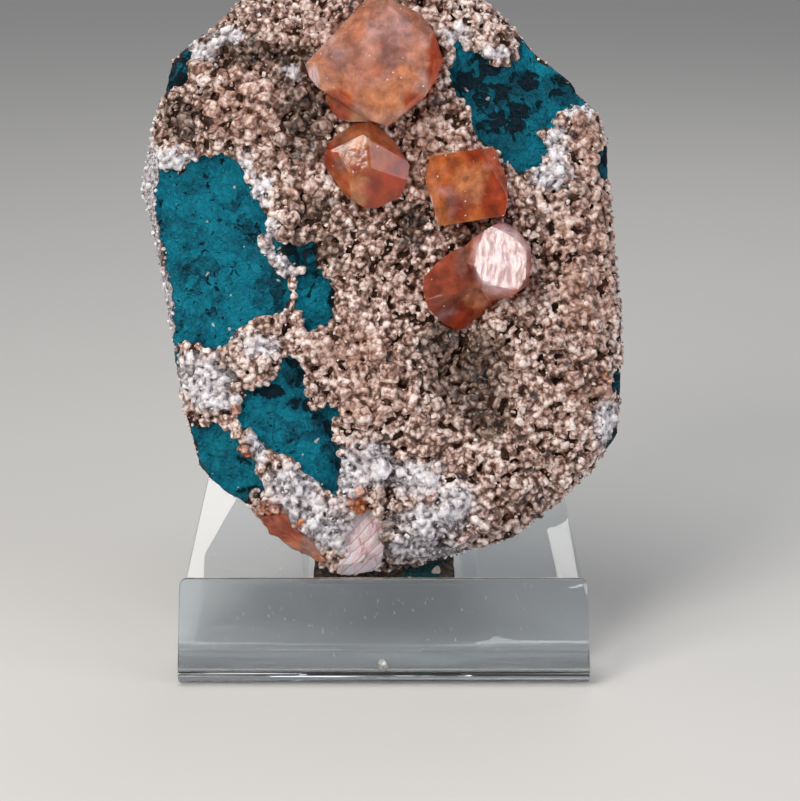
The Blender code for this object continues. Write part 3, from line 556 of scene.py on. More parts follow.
def basalt_with_celadonite(settings):
    """Broken basalt with flat windows of celadonite.

    The rock is dull and dark brown-grey, with pale fillings of old gas bubbles. Under the
    crust it is dark brown, partly iron stain and partly painted shade, or white; under the
    calcite it is painted pale, a painted glow that shows through the crystals. The windows
    are waxy and teal, with small ledges, hair cracks, black pits and blotches and a few white
    chips; their sunk parts are darkened with painted shade.
    """
    material, tree, shader = new_material("basalt_with_celadonite")
    at = add_node(tree, "TexCoord", out="Object")
    window, sunk_shade, white, crust = (
        add_node(tree, "Attribute", attribute_name=fact, out="Fac")
        for fact in ("window", "sunk_shade", "white", "crust")
    )

    # The ragged edge of a window: its distance is shaken by noise of 1.8 mm
    ragged = add_node(
        tree, "TexNoise", {"Vector": at, "Scale": per_mm(1.8), "Detail": 3.0}, out="Fac"
    )
    shaken = add_node(
        tree, "MapRange",
        {0: ragged, "From Min": 0.25, "From Max": 0.75, "To Min": -0.9, "To Max": 0.9},
        out=0,
    )
    depth = add_node(tree, "Math", {0: window, 1: shaken}, operation="ADD", out=0)
    is_window = add_node(
        tree, "MapRange", {0: depth, "From Min": -0.06, "From Max": 0.06}, out=0
    )
    rim = add_node(
        tree, "MapRange",
        {0: depth, "From Min": 0.0, "From Max": 0.5, "To Min": 0.8, "To Max": 0.0}, out=0
    )

    # Flat ledges of a few millimetres, each with its own shade of teal
    warp = add_node(
        tree, "TexNoise", {"Vector": at, "Scale": per_mm(2.2), "Detail": 3.0}, out="Color"
    )
    bent = add_node(
        tree, "VectorMath", {0: warp, 1: (2.4 * MM,) * 3, 2: at},
        operation="MULTIPLY_ADD", out="Vector",
    )
    flakes = add_node(tree, "TexVoronoi", {"Vector": bent, "Scale": per_mm(4.2)})
    flake = add_node(tree, "SeparateColor", {"Color": flakes.outputs["Color"]}, out="Red")
    hairs = add_node(
        tree, "TexVoronoi", {"Vector": bent, "Scale": per_mm(4.2)},
        feature="DISTANCE_TO_EDGE", out="Distance",
    )
    cloud = add_node(
        tree, "TexNoise",
        {"Vector": at, "Scale": per_mm(6), "Detail": 4.0, "Roughness": 0.65}, out="Fac",
    )
    wrinkle = add_node(
        tree, "TexNoise",
        {"Vector": at, "Scale": per_mm(1.5), "Detail": 3.0, "Roughness": 0.68,
         "Distortion": 1.6}, out="Fac",
    )
    tone = add_node(tree, "Math", {0: flake, 1: 0.26, 2: cloud}, operation="MULTIPLY_ADD", out=0)
    tone = add_node(tree, "Math", {0: wrinkle, 1: 0.5, 2: tone}, operation="MULTIPLY_ADD", out=0)
    teal = add_node(
        tree, "ValToRGB", {"Fac": tone},
        stops=[(0.62, srgb("03303E")), (0.82, tuple(settings.celadonite)),
               (1.0, srgb("077E94"))], out="Color",
    )

    # Black blotches, partly real and partly painted shade, since they crowd where the window sinks;
    # the sunk parts are also painted darker teal as painted shade
    blots_and_shade = add_node(
        tree, "TexNoise",
        {"Vector": at, "Scale": per_mm(3.8), "Detail": 4.0, "Roughness": 0.6,
         "Distortion": 0.7}, out="Fac",
    )
    blots_and_shade = add_node(tree, "Math", {0: sunk_shade, 1: 0.16, 2: blots_and_shade}, operation="MULTIPLY_ADD", out=0)
    blots_and_shade = add_node(tree, "MapRange", {0: blots_and_shade, "From Min": 0.63, "From Max": 0.67}, out=0)
    shade = add_node(tree, "Math", {0: sunk_shade, 1: 0.55}, operation="MULTIPLY", out=0)

    # Hair cracks round some ledges, small black pits and a few white chips
    here = add_node(tree, "MapRange", {0: cloud, "From Min": 0.53, "From Max": 0.63}, out=0)
    hair = add_node(
        tree, "MapRange",
        {0: hairs, "From Min": 0.01, "From Max": 0.045, "To Min": 0.7, "To Max": 0.0}, out=0
    )
    hair = add_node(tree, "Math", {0: hair, 1: here}, operation="MULTIPLY", out=0)
    pits, chance = dots(tree, bent, 1.9, 0.12, 0.2)
    some = chance.outputs["Red"]
    some = add_node(tree, "Math", {0: some, 1: 0.62}, operation="GREATER_THAN", out=0)
    pits = add_node(tree, "Math", {0: pits, 1: some}, operation="MULTIPLY", out=0)
    marks = add_node(tree, "Math", {0: pits, 1: hair}, operation="MAXIMUM", out=0)
    chips, _ = dots(tree, bent, 5.2, 0.07, 0.085, 0.85)
    layers = (
        (shade, srgb("063544")), (blots_and_shade, tuple(settings.celadonite_blots_and_shade)),
        (marks, srgb("061119")), (chips, srgb("D2D2CA")), (rim, srgb("3A3424")),
    )
    for share, colour in layers:
        teal = add_node(tree, "Mix", {0: share, 6: teal, 7: colour}, data_type="RGBA", out=2)

    # Dull rock with pale fillings. Under the crust it is dark brown, partly iron stain and partly
    # painted shade, or white; under the calcite it is painted pale, a painted glow that shows
    # through the crystals
    grain = add_node(
        tree, "TexNoise", {"Vector": at, "Scale": per_mm(0.9), "Detail": 2.0}, out="Fac"
    )
    rock = add_node(
        tree, "ValToRGB", {"Fac": grain},
        stops=[(0.3, srgb("2B2622")), (0.55, tuple(settings.basalt)), (0.75, srgb("6B6156"))],
        out="Color",
    )
    patch = add_node(
        tree, "TexNoise", {"Vector": at, "Scale": per_mm(13), "Detail": 4.0}, out="Fac"
    )
    greened = add_node(tree, "MapRange", {0: patch, "From Min": 0.56, "From Max": 0.62}, out=0)
    bubbles = add_node(tree, "TexVoronoi", {"Vector": bent, "Scale": per_mm(4.6)})
    size = add_node(tree, "SeparateColor", {"Color": bubbles.outputs["Color"]}, out="Green")
    size = add_node(
        tree, "MapRange", {0: size, "From Min": 0.45, "To Min": 0.0, "To Max": -0.24}, out=0
    )
    filled = add_node(
        tree, "Math", {0: bubbles.outputs["Distance"], 1: size}, operation="ADD", out=0
    )
    filled = add_node(
        tree, "MapRange",
        {0: filled, "From Min": 0.0, "From Max": 0.03, "To Min": 1.0, "To Max": 0.0}, out=0
    )
    stained_and_shaded = add_node(
        tree, "ValToRGB", {"Fac": grain},
        stops=[(0.3, srgb("20150F")), (0.6, srgb("4A3327")), (0.8, srgb("7C5F50"))],
        out="Color",
    )
    bleached_and_glow = add_node(
        tree, "ValToRGB", {"Fac": grain},
        stops=[(0.32, srgb("6E6866")), (0.55, srgb("C6C1C6")), (0.8, srgb("E6E3EA"))],
        out="Color",
    )
    under = add_node(
        tree, "Mix", {0: white, 6: stained_and_shaded, 7: bleached_and_glow}, data_type="RGBA", out=2
    )
    layers = (
        (greened, srgb("1F4144")), (filled, srgb("C2B8AC")), (crust, under),
        (is_window, teal),
    )
    for share, colour in layers:
        rock = add_node(tree, "Mix", {0: share, 6: rock, 7: colour}, data_type="RGBA", out=2)
    tree.links.new(rock, shader.inputs["Base Color"])

    rough = add_node(
        tree, "MapRange", {0: is_window, "To Min": 0.8, "To Max": 0.42}, out=0
    )
    tree.links.new(rough, shader.inputs["Roughness"])
    shader.inputs["Specular IOR Level"].default_value = 0.15
    relief = add_node(tree, "Math", {0: flake, 1: 0.5, 2: wrinkle}, operation="MULTIPLY_ADD", out=0)
    relief = add_node(tree, "Math", {0: relief, 1: blots_and_shade}, operation="SUBTRACT", out=0)
    relief = add_node(tree, "Mix", {0: is_window, 2: grain, 3: relief}, out=0)
    bump = add_node(
        tree, "Bump", {"Height": relief, "Strength": 1.0, "Distance": 1.3 * MM}, out="Normal"
    )
    tree.links.new(bump, shader.inputs["Normal"])
    return material


def heulandite(name, settings, gloss):
    """Grown heulandite: pearly petals, pale on their crests and dark between, partly stain and
    partly painted shade.

    The crystals' crests are cream pink and their roots iron brown; the crests are also painted
    lighter and the hollows darker as painted light and shade. Late crystals by the windows
    are white. A thin glossy skin gives their faces a glint.
    """
    material, tree, shader = new_material(name)
    at = add_node(tree, "TexCoord", out="Object")
    crest, tint, white, dark_and_shade, peach, amber = (
        add_node(tree, "Attribute", attribute_name=fact, out="Fac")
        for fact in ("crest", "tint", "white", "dark_and_shade", "peach", "amber")
    )
    clouds = add_node(
        tree, "TexNoise", {"Vector": at, "Scale": per_mm(1.1), "Detail": 2.0}, out="Fac"
    )
    patches = add_node(
        tree, "TexNoise", {"Vector": at, "Scale": per_mm(7), "Detail": 2.0}, out="Fac"
    )

    # Each mass is made of petals about a millimetre wide, with darker seams between them, partly
    # stain and partly painted shade in the crevices
    warp = add_node(
        tree, "TexNoise", {"Vector": at, "Scale": per_mm(1.4), "Detail": 1.0}, out="Color"
    )
    bent = add_node(
        tree, "VectorMath", {0: warp, 1: (1.3 * MM,) * 3, 2: at}, operation="MULTIPLY_ADD",
        out="Vector",
    )
    petals = add_node(tree, "TexVoronoi", {"Vector": bent, "Scale": per_mm(1.35)})
    petal = add_node(tree, "SeparateColor", {"Color": petals.outputs["Color"]}, out="Red")
    seam_stain_and_shade = add_node(
        tree, "MapRange",
        {0: petals.outputs["Distance"], "From Min": 0.42, "From Max": 0.7, "To Max": 0.34},
        out=0,
    )
    fewer = add_node(
        tree, "Math", {0: white, 1: -0.45, 2: 1.0}, operation="MULTIPLY_ADD", out=0
    )
    seam_stain_and_shade = add_node(tree, "Math", {0: seam_stain_and_shade, 1: fewer}, operation="MULTIPLY", out=0)

    # Painted shade: small dark holes between the crystals, painted as dots
    hole_shade, chance = dots(tree, at, 2.3, 0.09, 0.15, 0.6)
    some = chance.outputs["Green"]
    some = add_node(tree, "Math", {0: some, 1: 0.78}, operation="GREATER_THAN", out=0)
    hole_shade = add_node(tree, "Math", {0: hole_shade, 1: some}, operation="MULTIPLY", out=0)

    # How pale a spot is: its crest, so painted light on what stands out and painted shade in
    # the hollows, shifted by crystal, petal and cloud, less its seams and holes
    pale = crest
    shifts = (
        (clouds, (0.3, 0.7), (-0.14, 0.14)), (tint, (0.0, 1.0), (-0.14, 0.14)),
        (patches, (0.35, 0.65), (-0.1, 0.1)), (petal, (0.0, 1.0), (-0.07, 0.19)),
    )
    for source, (low, high), (least, most) in shifts:
        shift = add_node(
            tree, "MapRange",
            {0: source, "From Min": low, "From Max": high, "To Min": least, "To Max": most},
            out=0,
        )
        pale = add_node(tree, "Math", {0: pale, 1: shift}, operation="ADD", out=0)
    for loss in (seam_stain_and_shade, hole_shade):
        pale = add_node(tree, "Math", {0: pale, 1: loss}, operation="SUBTRACT", out=0)

    # The cream body, from stain and painted shade at the roots to pale tips, with the peach, dark
    # and shaded, white and amber zones laid over it
    cream = [
        (0.08, tuple(settings.root)), (0.33, srgb("7A5443")), (0.56, tuple(settings.body)),
        (0.82, tuple(settings.tip)),
    ]
    zones = (
        (peach, [(0.1, srgb("3C2218")), (0.35, srgb("8E6553")), (0.6, srgb("BF9A8A")),
                 (0.9, srgb("E9D6CE"))]),
        (dark_and_shade, [(0.1, srgb("150D09")), (0.5, srgb("604638")), (0.9, srgb("B59C8E"))]),
        (white, [(0.1, srgb("2A211E")), (0.32, srgb("8E878B")), (0.53, srgb("CDC8CD")),
                 (0.76, tuple(settings.white))]),
        (amber, [(0.1, srgb("3A1507")), (0.5, srgb("B0592A")), (0.9, srgb("DE9C70"))]),
    )
    colour = add_node(tree, "ValToRGB", {"Fac": pale}, stops=cream, out="Color")
    for zone, stops in zones:
        shade = add_node(tree, "ValToRGB", {"Fac": pale}, stops=stops, out="Color")
        colour = add_node(tree, "Mix", {0: zone, 6: colour, 7: shade}, data_type="RGBA", out=2)
    tree.links.new(colour, shader.inputs["Base Color"])
    shader.inputs["Roughness"].default_value = gloss
    shader.inputs["IOR"].default_value = 1.5
    shader.inputs["Coat Weight"].default_value = 0.35
    shader.inputs["Coat Roughness"].default_value = 0.1
    relief = add_node(
        tree, "Math", {0: petals.outputs["Distance"], 1: -1.0, 2: clouds},
        operation="MULTIPLY_ADD", out=0,
    )
    bump = add_node(
        tree, "Bump", {"Height": relief, "Strength": 0.7, "Distance": 0.3 * MM}, out="Normal"
    )
    tree.links.new(bump, shader.inputs["Normal"])
    return material


def calcite(name, settings, body, clear, depth, density, relief, blades):
    """Grown calcite: glassy faces over a faintly milky, iron-stained inside.

    Part of the light goes straight through, stained by the depth, and the rest is scattered
    by milky clouds, so the crystal glows. Milky zones are striated and frosted; some of them
    are painted glints where facets mirror the light. Each facet is painted a little lighter or
    darker as painted light and shade, and the deep zones are partly painted shade. The share
    of blades shows the broken edges of a stack of cleavage plates.
    """
    material, tree, shader = new_material(name)
    at = add_node(tree, "TexCoord", out="Object")
    deep_and_shade, smoky, milky_and_glint, bright, warm, facet = (
        add_node(tree, "Attribute", attribute_name=fact, out="Fac")
        for fact in ("deep_and_shade", "smoky", "milky_and_glint", "bright", "warm", "facet")
    )
    warp = add_node(
        tree, "TexNoise", {"Vector": at, "Scale": per_mm(5), "Detail": 3.0}, out="Color"
    )
    bent = add_node(
        tree, "VectorMath", {0: warp, 1: (2 * MM,) * 3, 2: at}, operation="MULTIPLY_ADD",
        out="Vector",
    )
    drift = add_node(
        tree, "TexNoise",
        {"Vector": bent, "Scale": per_mm(8), "Detail": 3.0, "Roughness": 0.5}, out="Fac",
    )
    cloud = add_node(
        tree, "TexNoise",
        {"Vector": bent, "Scale": per_mm(3.4), "Detail": 4.0, "Roughness": 0.6}, out="Fac",
    )
    colour = add_node(
        tree, "ValToRGB", {"Fac": drift},
        stops=[(0.36, tuple(settings.orange)), (0.52, body), (0.68, tuple(settings.milky_and_glint))],
        out="Color",
    )
    colour = add_node(tree, "Mix", {0: 0.6, 6: colour, 7: body}, data_type="RGBA", out=2)
    zones = (
        (warm, srgb("CC6410"), 0.95), (bright, srgb("FFB27C"), 0.8),
        (deep_and_shade, tuple(settings.deep_and_shade), 0.9), (smoky, tuple(settings.smoky), 0.5),
        (milky_and_glint, tuple(settings.milky_and_glint), 0.9),
    )
    for zone, shade, most in zones:
        share = add_node(
            tree, "Math", {0: cloud, 1: 0.6, 2: zone}, operation="MULTIPLY_ADD", out=0
        )
        share = add_node(
            tree, "MapRange",
            {0: share, "From Min": 0.35, "From Max": 1.2, "To Max": most},
            interpolation_type="SMOOTHSTEP", out=0,
        )
        colour = add_node(tree, "Mix", {0: share, 6: colour, 7: shade}, data_type="RGBA", out=2)

    # Painted light and shade: each facet is painted a little lighter or darker, as if no two facets
    # let in the same light
    painted_facet_light = add_node(
        tree, "MapRange", {0: facet, "From Min": 0.55, "To Max": 0.22}, out=0
    )
    painted_facet_shade = add_node(
        tree, "MapRange", {0: facet, "From Max": 0.45, "To Min": 0.3, "To Max": 0.0}, out=0
    )

    # Small white specks and orange flakes
    specks, chance = dots(tree, bent, 1.8, 0.09, 0.14, 0.85)
    some, kind = chance.outputs["Blue"], chance.outputs["Red"]
    some = add_node(tree, "Math", {0: some, 1: 0.45}, operation="GREATER_THAN", out=0)
    specks = add_node(tree, "Math", {0: specks, 1: some}, operation="MULTIPLY", out=0)
    white = add_node(tree, "Math", {0: kind, 1: 0.5}, operation="GREATER_THAN", out=0)
    speck = add_node(
        tree, "Mix", {0: white, 6: srgb("C8581E"), 7: srgb("FFF1EA")}, data_type="RGBA", out=2
    )

    # Cleavage plates, seen on edge: slanting steps of a millimetre, white along their rims
    slant = add_node(tree, "Mapping", {"Vector": bent, "Rotation": (0, 2.35, 0)}, out=0)
    plates = add_node(
        tree, "TexWave",
        {"Vector": slant, "Scale": per_mm(6.5), "Distortion": 2.2, "Detail": 3.0,
         "Detail Scale": 1.5}, wave_profile="SAW", out="Fac",
    )
    rims = add_node(
        tree, "MapRange",
        {0: plates, "From Min": 0.55, "From Max": 1.0, "To Max": 0.85 * blades}, out=0,
    )
    gaps = add_node(
        tree, "MapRange", {0: plates, "From Max": 0.2, "To Min": 0.7 * blades, "To Max": 0.0},
        out=0,
    )

    # Fine striations, which frost and streak the milky zones and the painted glints
    turned = add_node(
        tree, "Mapping", {"Vector": bent, "Rotation": (0.2, 0.9, 0.3), "Scale": (1, 1, 0.12)},
        out=0,
    )
    stripes = add_node(
        tree, "TexNoise", {"Vector": turned, "Scale": per_mm(0.9), "Detail": 2.0}, out="Fac"
    )
    streak = add_node(
        tree, "MapRange", {0: stripes, "From Min": 0.52, "From Max": 0.64, "To Max": 0.6}, out=0
    )
    streak = add_node(tree, "Math", {0: streak, 1: milky_and_glint}, operation="MULTIPLY", out=0)
    layers = (
        (painted_facet_light, srgb("FFC6A4")), (painted_facet_shade, srgb("6E3214")), (specks, speck),
        (rims, srgb("FFF6F4")), (gaps, srgb("A87468")), (streak, srgb("C08078")),
    )
    for share, shade in layers:
        colour = add_node(tree, "Mix", {0: share, 6: colour, 7: shade}, data_type="RGBA", out=2)
    tree.links.new(colour, shader.inputs["Base Color"])

    # Clear where there is no cloud, speck, milky zone or painted glint
    veil = add_node(tree, "Math", {0: milky_and_glint, 1: 0.3, 2: cloud}, operation="MULTIPLY_ADD", out=0)
    clearness = add_node(
        tree, "MapRange",
        {0: veil, "From Min": 0.38, "From Max": 0.72, "To Min": clear[1], "To Max": clear[0]},
        out=0,
    )
    open_share = add_node(
        tree, "Math", {0: specks, 1: -0.8, 2: 1.0}, operation="MULTIPLY_ADD", out=0
    )
    clearness = add_node(
        tree, "Math", {0: clearness, 1: open_share}, operation="MULTIPLY", out=0
    )
    tree.links.new(clearness, shader.inputs["Transmission Weight"])

    # Red light goes deepest into the milky part. The IOR lies between calcite's two, 1.49
    # and 1.66.
    shader.inputs["Subsurface Weight"].default_value = 0.8
    shader.inputs["Subsurface Radius"].default_value = (1.0, 0.42, 0.18)
    shader.inputs["Subsurface Scale"].default_value = depth * MM
    shader.inputs["IOR"].default_value = 1.62
    frost = add_node(
        tree, "MapRange", {0: stripes, "From Min": 0.42, "From Max": 0.6, "To Min": 0.05,
                           "To Max": 0.36}, out=0
    )
    frost = add_node(tree, "Math", {0: frost, 1: milky_and_glint}, operation="MULTIPLY", out=0)
    rough = add_node(
        tree, "MapRange", {0: cloud, "From Min": 0.35, "From Max": 0.7, "To Min": 0.02,
                           "To Max": 0.07}, out=0
    )
    rough = add_node(tree, "Math", {0: rough, 1: frost}, operation="ADD", out=0)
    tree.links.new(rough, shader.inputs["Roughness"])

    # Clouds, striations and plates also stand out a little on the faces
    steps = add_node(tree, "Math", {0: plates, 1: blades}, operation="MULTIPLY", out=0)
    steps = add_node(tree, "Math", {0: stripes, 1: 0.5, 2: steps}, operation="MULTIPLY_ADD", out=0)
    height = add_node(tree, "Math", {0: cloud, 1: steps}, operation="ADD", out=0)
    bump = add_node(
        tree, "Bump", {"Height": height, "Strength": 0.6, "Distance": relief * MM}, out="Normal"
    )
    tree.links.new(bump, shader.inputs["Normal"])
    stain = add_node(tree, "VolumeAbsorption", {"Color": srgb("F08A4A"), "Density": density})
    tree.links.new(stain.outputs[0], tree.nodes["Material Output"].inputs["Volume"])
    return material


def healed_fractures():
    """Healed cracks inside the calcite: thin, wavy sheets of tiny bubbles and rust."""
    material, tree, shader = new_material("healed_fractures")
    at = add_node(tree, "TexCoord", out="Object")
    veil = add_node(
        tree, "TexNoise",
        {"Vector": at, "Scale": per_mm(2.2), "Detail": 7.0, "Roughness": 0.7,
         "Distortion": 1.0}, out="Fac",
    )
    colour = add_node(
        tree, "ValToRGB", {"Fac": veil},
        stops=[(0.38, srgb("C65A1C")), (0.5, srgb("F0B592")), (0.62, srgb("FFF3EE"))],
        out="Color",
    )
    tree.links.new(colour, shader.inputs["Base Color"])
    shown = add_node(
        tree, "MapRange", {0: veil, "From Min": 0.42, "From Max": 0.66, "To Max": 0.75}, out=0
    )
    tree.links.new(shown, shader.inputs["Alpha"])
    shader.inputs["Roughness"].default_value = 0.25
    return material


def clear_acrylic(settings):
    """Cast acrylic sheet, heat-bent and polished: glass-clear, with scratches and dust."""
    material, tree, shader = new_material("clear_acrylic")
    at = add_node(tree, "TexCoord", out="Object")
    shader.inputs["Base Color"].default_value = tuple(settings.tint)
    shader.inputs["IOR"].default_value = 1.49

    # Hairlines from handling, and grains of dust
    turned = add_node(
        tree, "Mapping", {"Vector": at, "Rotation": (0.3, 0.5, 0.4), "Scale": (1, 1, 0.04)},
        out=0,
    )
    hair = add_node(
        tree, "TexNoise", {"Vector": turned, "Scale": per_mm(0.5), "Detail": 2.0}, out="Fac"
    )
    scratch = add_node(tree, "MapRange", {0: hair, "From Min": 0.74, "From Max": 0.76}, out=0)
    dust, _ = dots(tree, at, 5, 0.025, 0.04)
    worn = add_node(tree, "Math", {0: scratch, 1: dust}, operation="MAXIMUM", out=0)
    rough = add_node(tree, "MapRange", {0: worn, "To Min": 0.015, "To Max": 0.45}, out=0)
    tree.links.new(rough, shader.inputs["Roughness"])
    clear = add_node(tree, "MapRange", {0: worn, "To Min": 1.0, "To Max": 0.55}, out=0)
    tree.links.new(clear, shader.inputs["Transmission Weight"])
    return material


def dried_cement():
    """A drop of acrylic cement, dried cloudy white with a glossy skin."""
    material, tree, shader = new_material("dried_cement")
    at = add_node(tree, "TexCoord", out="Object")
    cloud = add_node(
        tree, "TexNoise", {"Vector": at, "Scale": per_mm(0.9), "Detail": 2.0}, out="Fac"
    )
    clear = add_node(
        tree, "MapRange", {0: cloud, "From Min": 0.4, "From Max": 0.6, "To Min": 0.2,
                           "To Max": 0.7}, out=0
    )
    tree.links.new(clear, shader.inputs["Transmission Weight"])
    shader.inputs["Base Color"].default_value = srgb("F6F5F2")
    shader.inputs["Roughness"].default_value = 0.18
    shader.inputs["IOR"].default_value = 1.49
    return material


def sawn_acrylic(settings):
    """The sawn and flamed edges of the sheet: faintly frosted, so they catch the light."""
    material, tree, shader = new_material("sawn_acrylic_edge")
    at = add_node(tree, "TexCoord", out="Object")
    teeth = add_node(
        tree, "TexNoise", {"Vector": at, "Scale": per_mm(3), "Detail": 3.0}, out="Fac"
    )
    colour = add_node(
        tree, "ValToRGB", {"Fac": teeth},
        stops=[(0.4, srgb("F6E6D6")), (0.6, tuple(settings.cut))], out="Color",
    )
    tree.links.new(colour, shader.inputs["Base Color"])
    rough = add_node(
        tree, "MapRange", {0: teeth, "From Min": 0.35, "From Max": 0.65, "To Min": 0.08,
                           "To Max": 0.16}, out=0
    )
    tree.links.new(rough, shader.inputs["Roughness"])
    shader.inputs["Transmission Weight"].default_value = 0.93
    shader.inputs["IOR"].default_value = 1.49
    return material


def face_samples(mesh, count, chance):
    """Random points on a mesh, evenly by area: their places and normals."""
    mesh.calc_loop_triangles()
    total = len(mesh.loop_triangles)
    corners = np.empty(total * 3, np.int64)
    mesh.loop_triangles.foreach_get("vertices", corners)
    corners = corners.reshape(-1, 3)
    places = coordinates(mesh)[corners]
    cross = np.cross(places[:, 1] - places[:, 0], places[:, 2] - places[:, 0])
    area = np.linalg.norm(cross, axis=1)
    odds = np.cumsum(area)
    pick = np.searchsorted(odds, chance.random(count) * odds[-1])
    a, b = chance.random((2, count))
    fold = a + b > 1
    a, b = np.where(fold, 1 - a, a), np.where(fold, 1 - b, b)
    base = places[pick]
    spots = base[:, 0] + a[:, None] * (base[:, 1] - base[:, 0])
    spots += b[:, None] * (base[:, 2] - base[:, 0])
    return spots, cross[pick] / np.maximum(area[pick], 1e-12)[:, None]


def thinned(spots, spacing):
    """Numbers of the spots that are left when none may be closer than the spacing."""
    cells = {}
    kept = []
    steps = [(i, j, k) for i in (-1, 0, 1) for j in (-1, 0, 1) for k in (-1, 0, 1)]
    for number, spot in enumerate((spots / spacing).tolist()):
        x, y, z = spot
        home = (math.floor(x), math.floor(y), math.floor(z))
        near = False
        for i, j, k in steps:
            for other in cells.get((home[0] + i, home[1] + j, home[2] + k), ()):
                if (x - other[0]) ** 2 + (y - other[1]) ** 2 + (z - other[2]) ** 2 < 1:
                    near = True
                    break
            if near:
                break
        if not near:
            cells.setdefault(home, []).append(spot)
            kept.append(number)
    return np.array(kept)


def unit(rows):
    """Rows scaled to length one."""
    return rows / np.maximum(np.linalg.norm(rows, axis=1), 1e-12)[:, None]


def stand_up(axes, chance):
    """Turning matrices that stand crystals along their axes, each with a random twist."""
    side = unit(np.cross(unit(chance.normal(size=axes.shape)), axes))
    return np.stack([side, np.cross(axes, side), axes], axis=2)


def crystal_pattern(name, sides, width, thickness, taper, chamfer):
    """One crystal to copy: a prism along Y with a narrower tip and chamfered broad faces."""
    bpy.ops.object.select_all(action="DESELECT")
    bpy.ops.mesh.primitive_cylinder_add(
        vertices=sides, radius=0.5, depth=1.0, location=(0, 0, 0), end_fill_type="NGON"
    )
    pattern = bpy.context.active_object
    pattern.name = name
    bpy.ops.object.mode_set(mode="EDIT")
    bpy.ops.mesh.select_all(action="SELECT")
    bpy.ops.transform.resize(value=(1, 1, thickness))
    bpy.ops.mesh.select_all(action="DESELECT")
    form = bmesh.from_edit_mesh(pattern.data)
    for face in form.faces:
        if abs(face.normal.z) > 0.9:
            face.select_set(True)
    bmesh.update_edit_mesh(pattern.data)
    if chamfer:
        bpy.ops.mesh.inset(thickness=chamfer, depth=0.5 * chamfer)
    bpy.ops.mesh.select_all(action="DESELECT")
    form = bmesh.from_edit_mesh(pattern.data)
    for vert in form.verts:
        if vert.co.y > 0.05:
            vert.select_set(True)
    form.select_flush(True)
    bmesh.update_edit_mesh(pattern.data)
    bpy.ops.transform.resize(value=(taper, 1, 1))
    bpy.ops.mesh.select_all(action="SELECT")
    bpy.ops.transform.resize(value=(width, 1, 1))
    bpy.ops.object.mode_set(mode="OBJECT")
    return pattern


def joined_copies(name, patterns, kinds, places, turns, sizes):
    """Copies of the patterns as one mesh, and the number of the copy of each vertex."""
    verts, faces, owners, start = [], [], [], 0
    for kind, pattern in enumerate(patterns):
        chosen = np.flatnonzero(kinds == kind)
        shape = coordinates(pattern.data)
        turned = np.einsum("nij,vj->nvi", turns[chosen], shape)
        placed = places[chosen][:, None] + turned * sizes[chosen][:, None, None]
        verts.append(placed.reshape(-1, 3))
        owners.append(np.repeat(chosen, len(shape)))
        polygons = [list(face.vertices) for face in pattern.data.polygons]
        for number in range(len(chosen)):
            shift = start + number * len(shape)
            faces += [[corner + shift for corner in polygon] for polygon in polygons]
        start += len(chosen) * len(shape)
    mesh = bpy.data.meshes.new(name)
    mesh.from_pydata(np.concatenate(verts).tolist(), [], faces)
    mesh.update()
    made = bpy.data.objects.new(name, mesh)
    bpy.context.scene.collection.objects.link(made)
    return made, np.concatenate(owners)


def proudness(mesh, passes):
    """How far each vertex stands out of the smoothed surface around it, in millimetres."""
    places = coordinates(mesh)
    count = len(places)
    normals = np.empty(count * 3, np.float32)
    mesh.vertex_normals.foreach_get("vector", normals)
    ends = np.empty(len(mesh.edges) * 2, np.int32)
    mesh.edges.foreach_get("vertices", ends)
    one, two = ends.reshape(-1, 2).T
    shares = np.maximum(np.bincount(ends, minlength=count), 1)
    smooth = places.copy()
    for _ in range(passes):
        for axis in range(3):
            total = np.bincount(one, smooth[two, axis], count)
            total += np.bincount(two, smooth[one, axis], count)
            smooth[:, axis] = 0.5 * smooth[:, axis] + 0.5 * total / shares
    return np.einsum("ij,ij->i", places - smooth, normals.reshape(-1, 3)) / MM


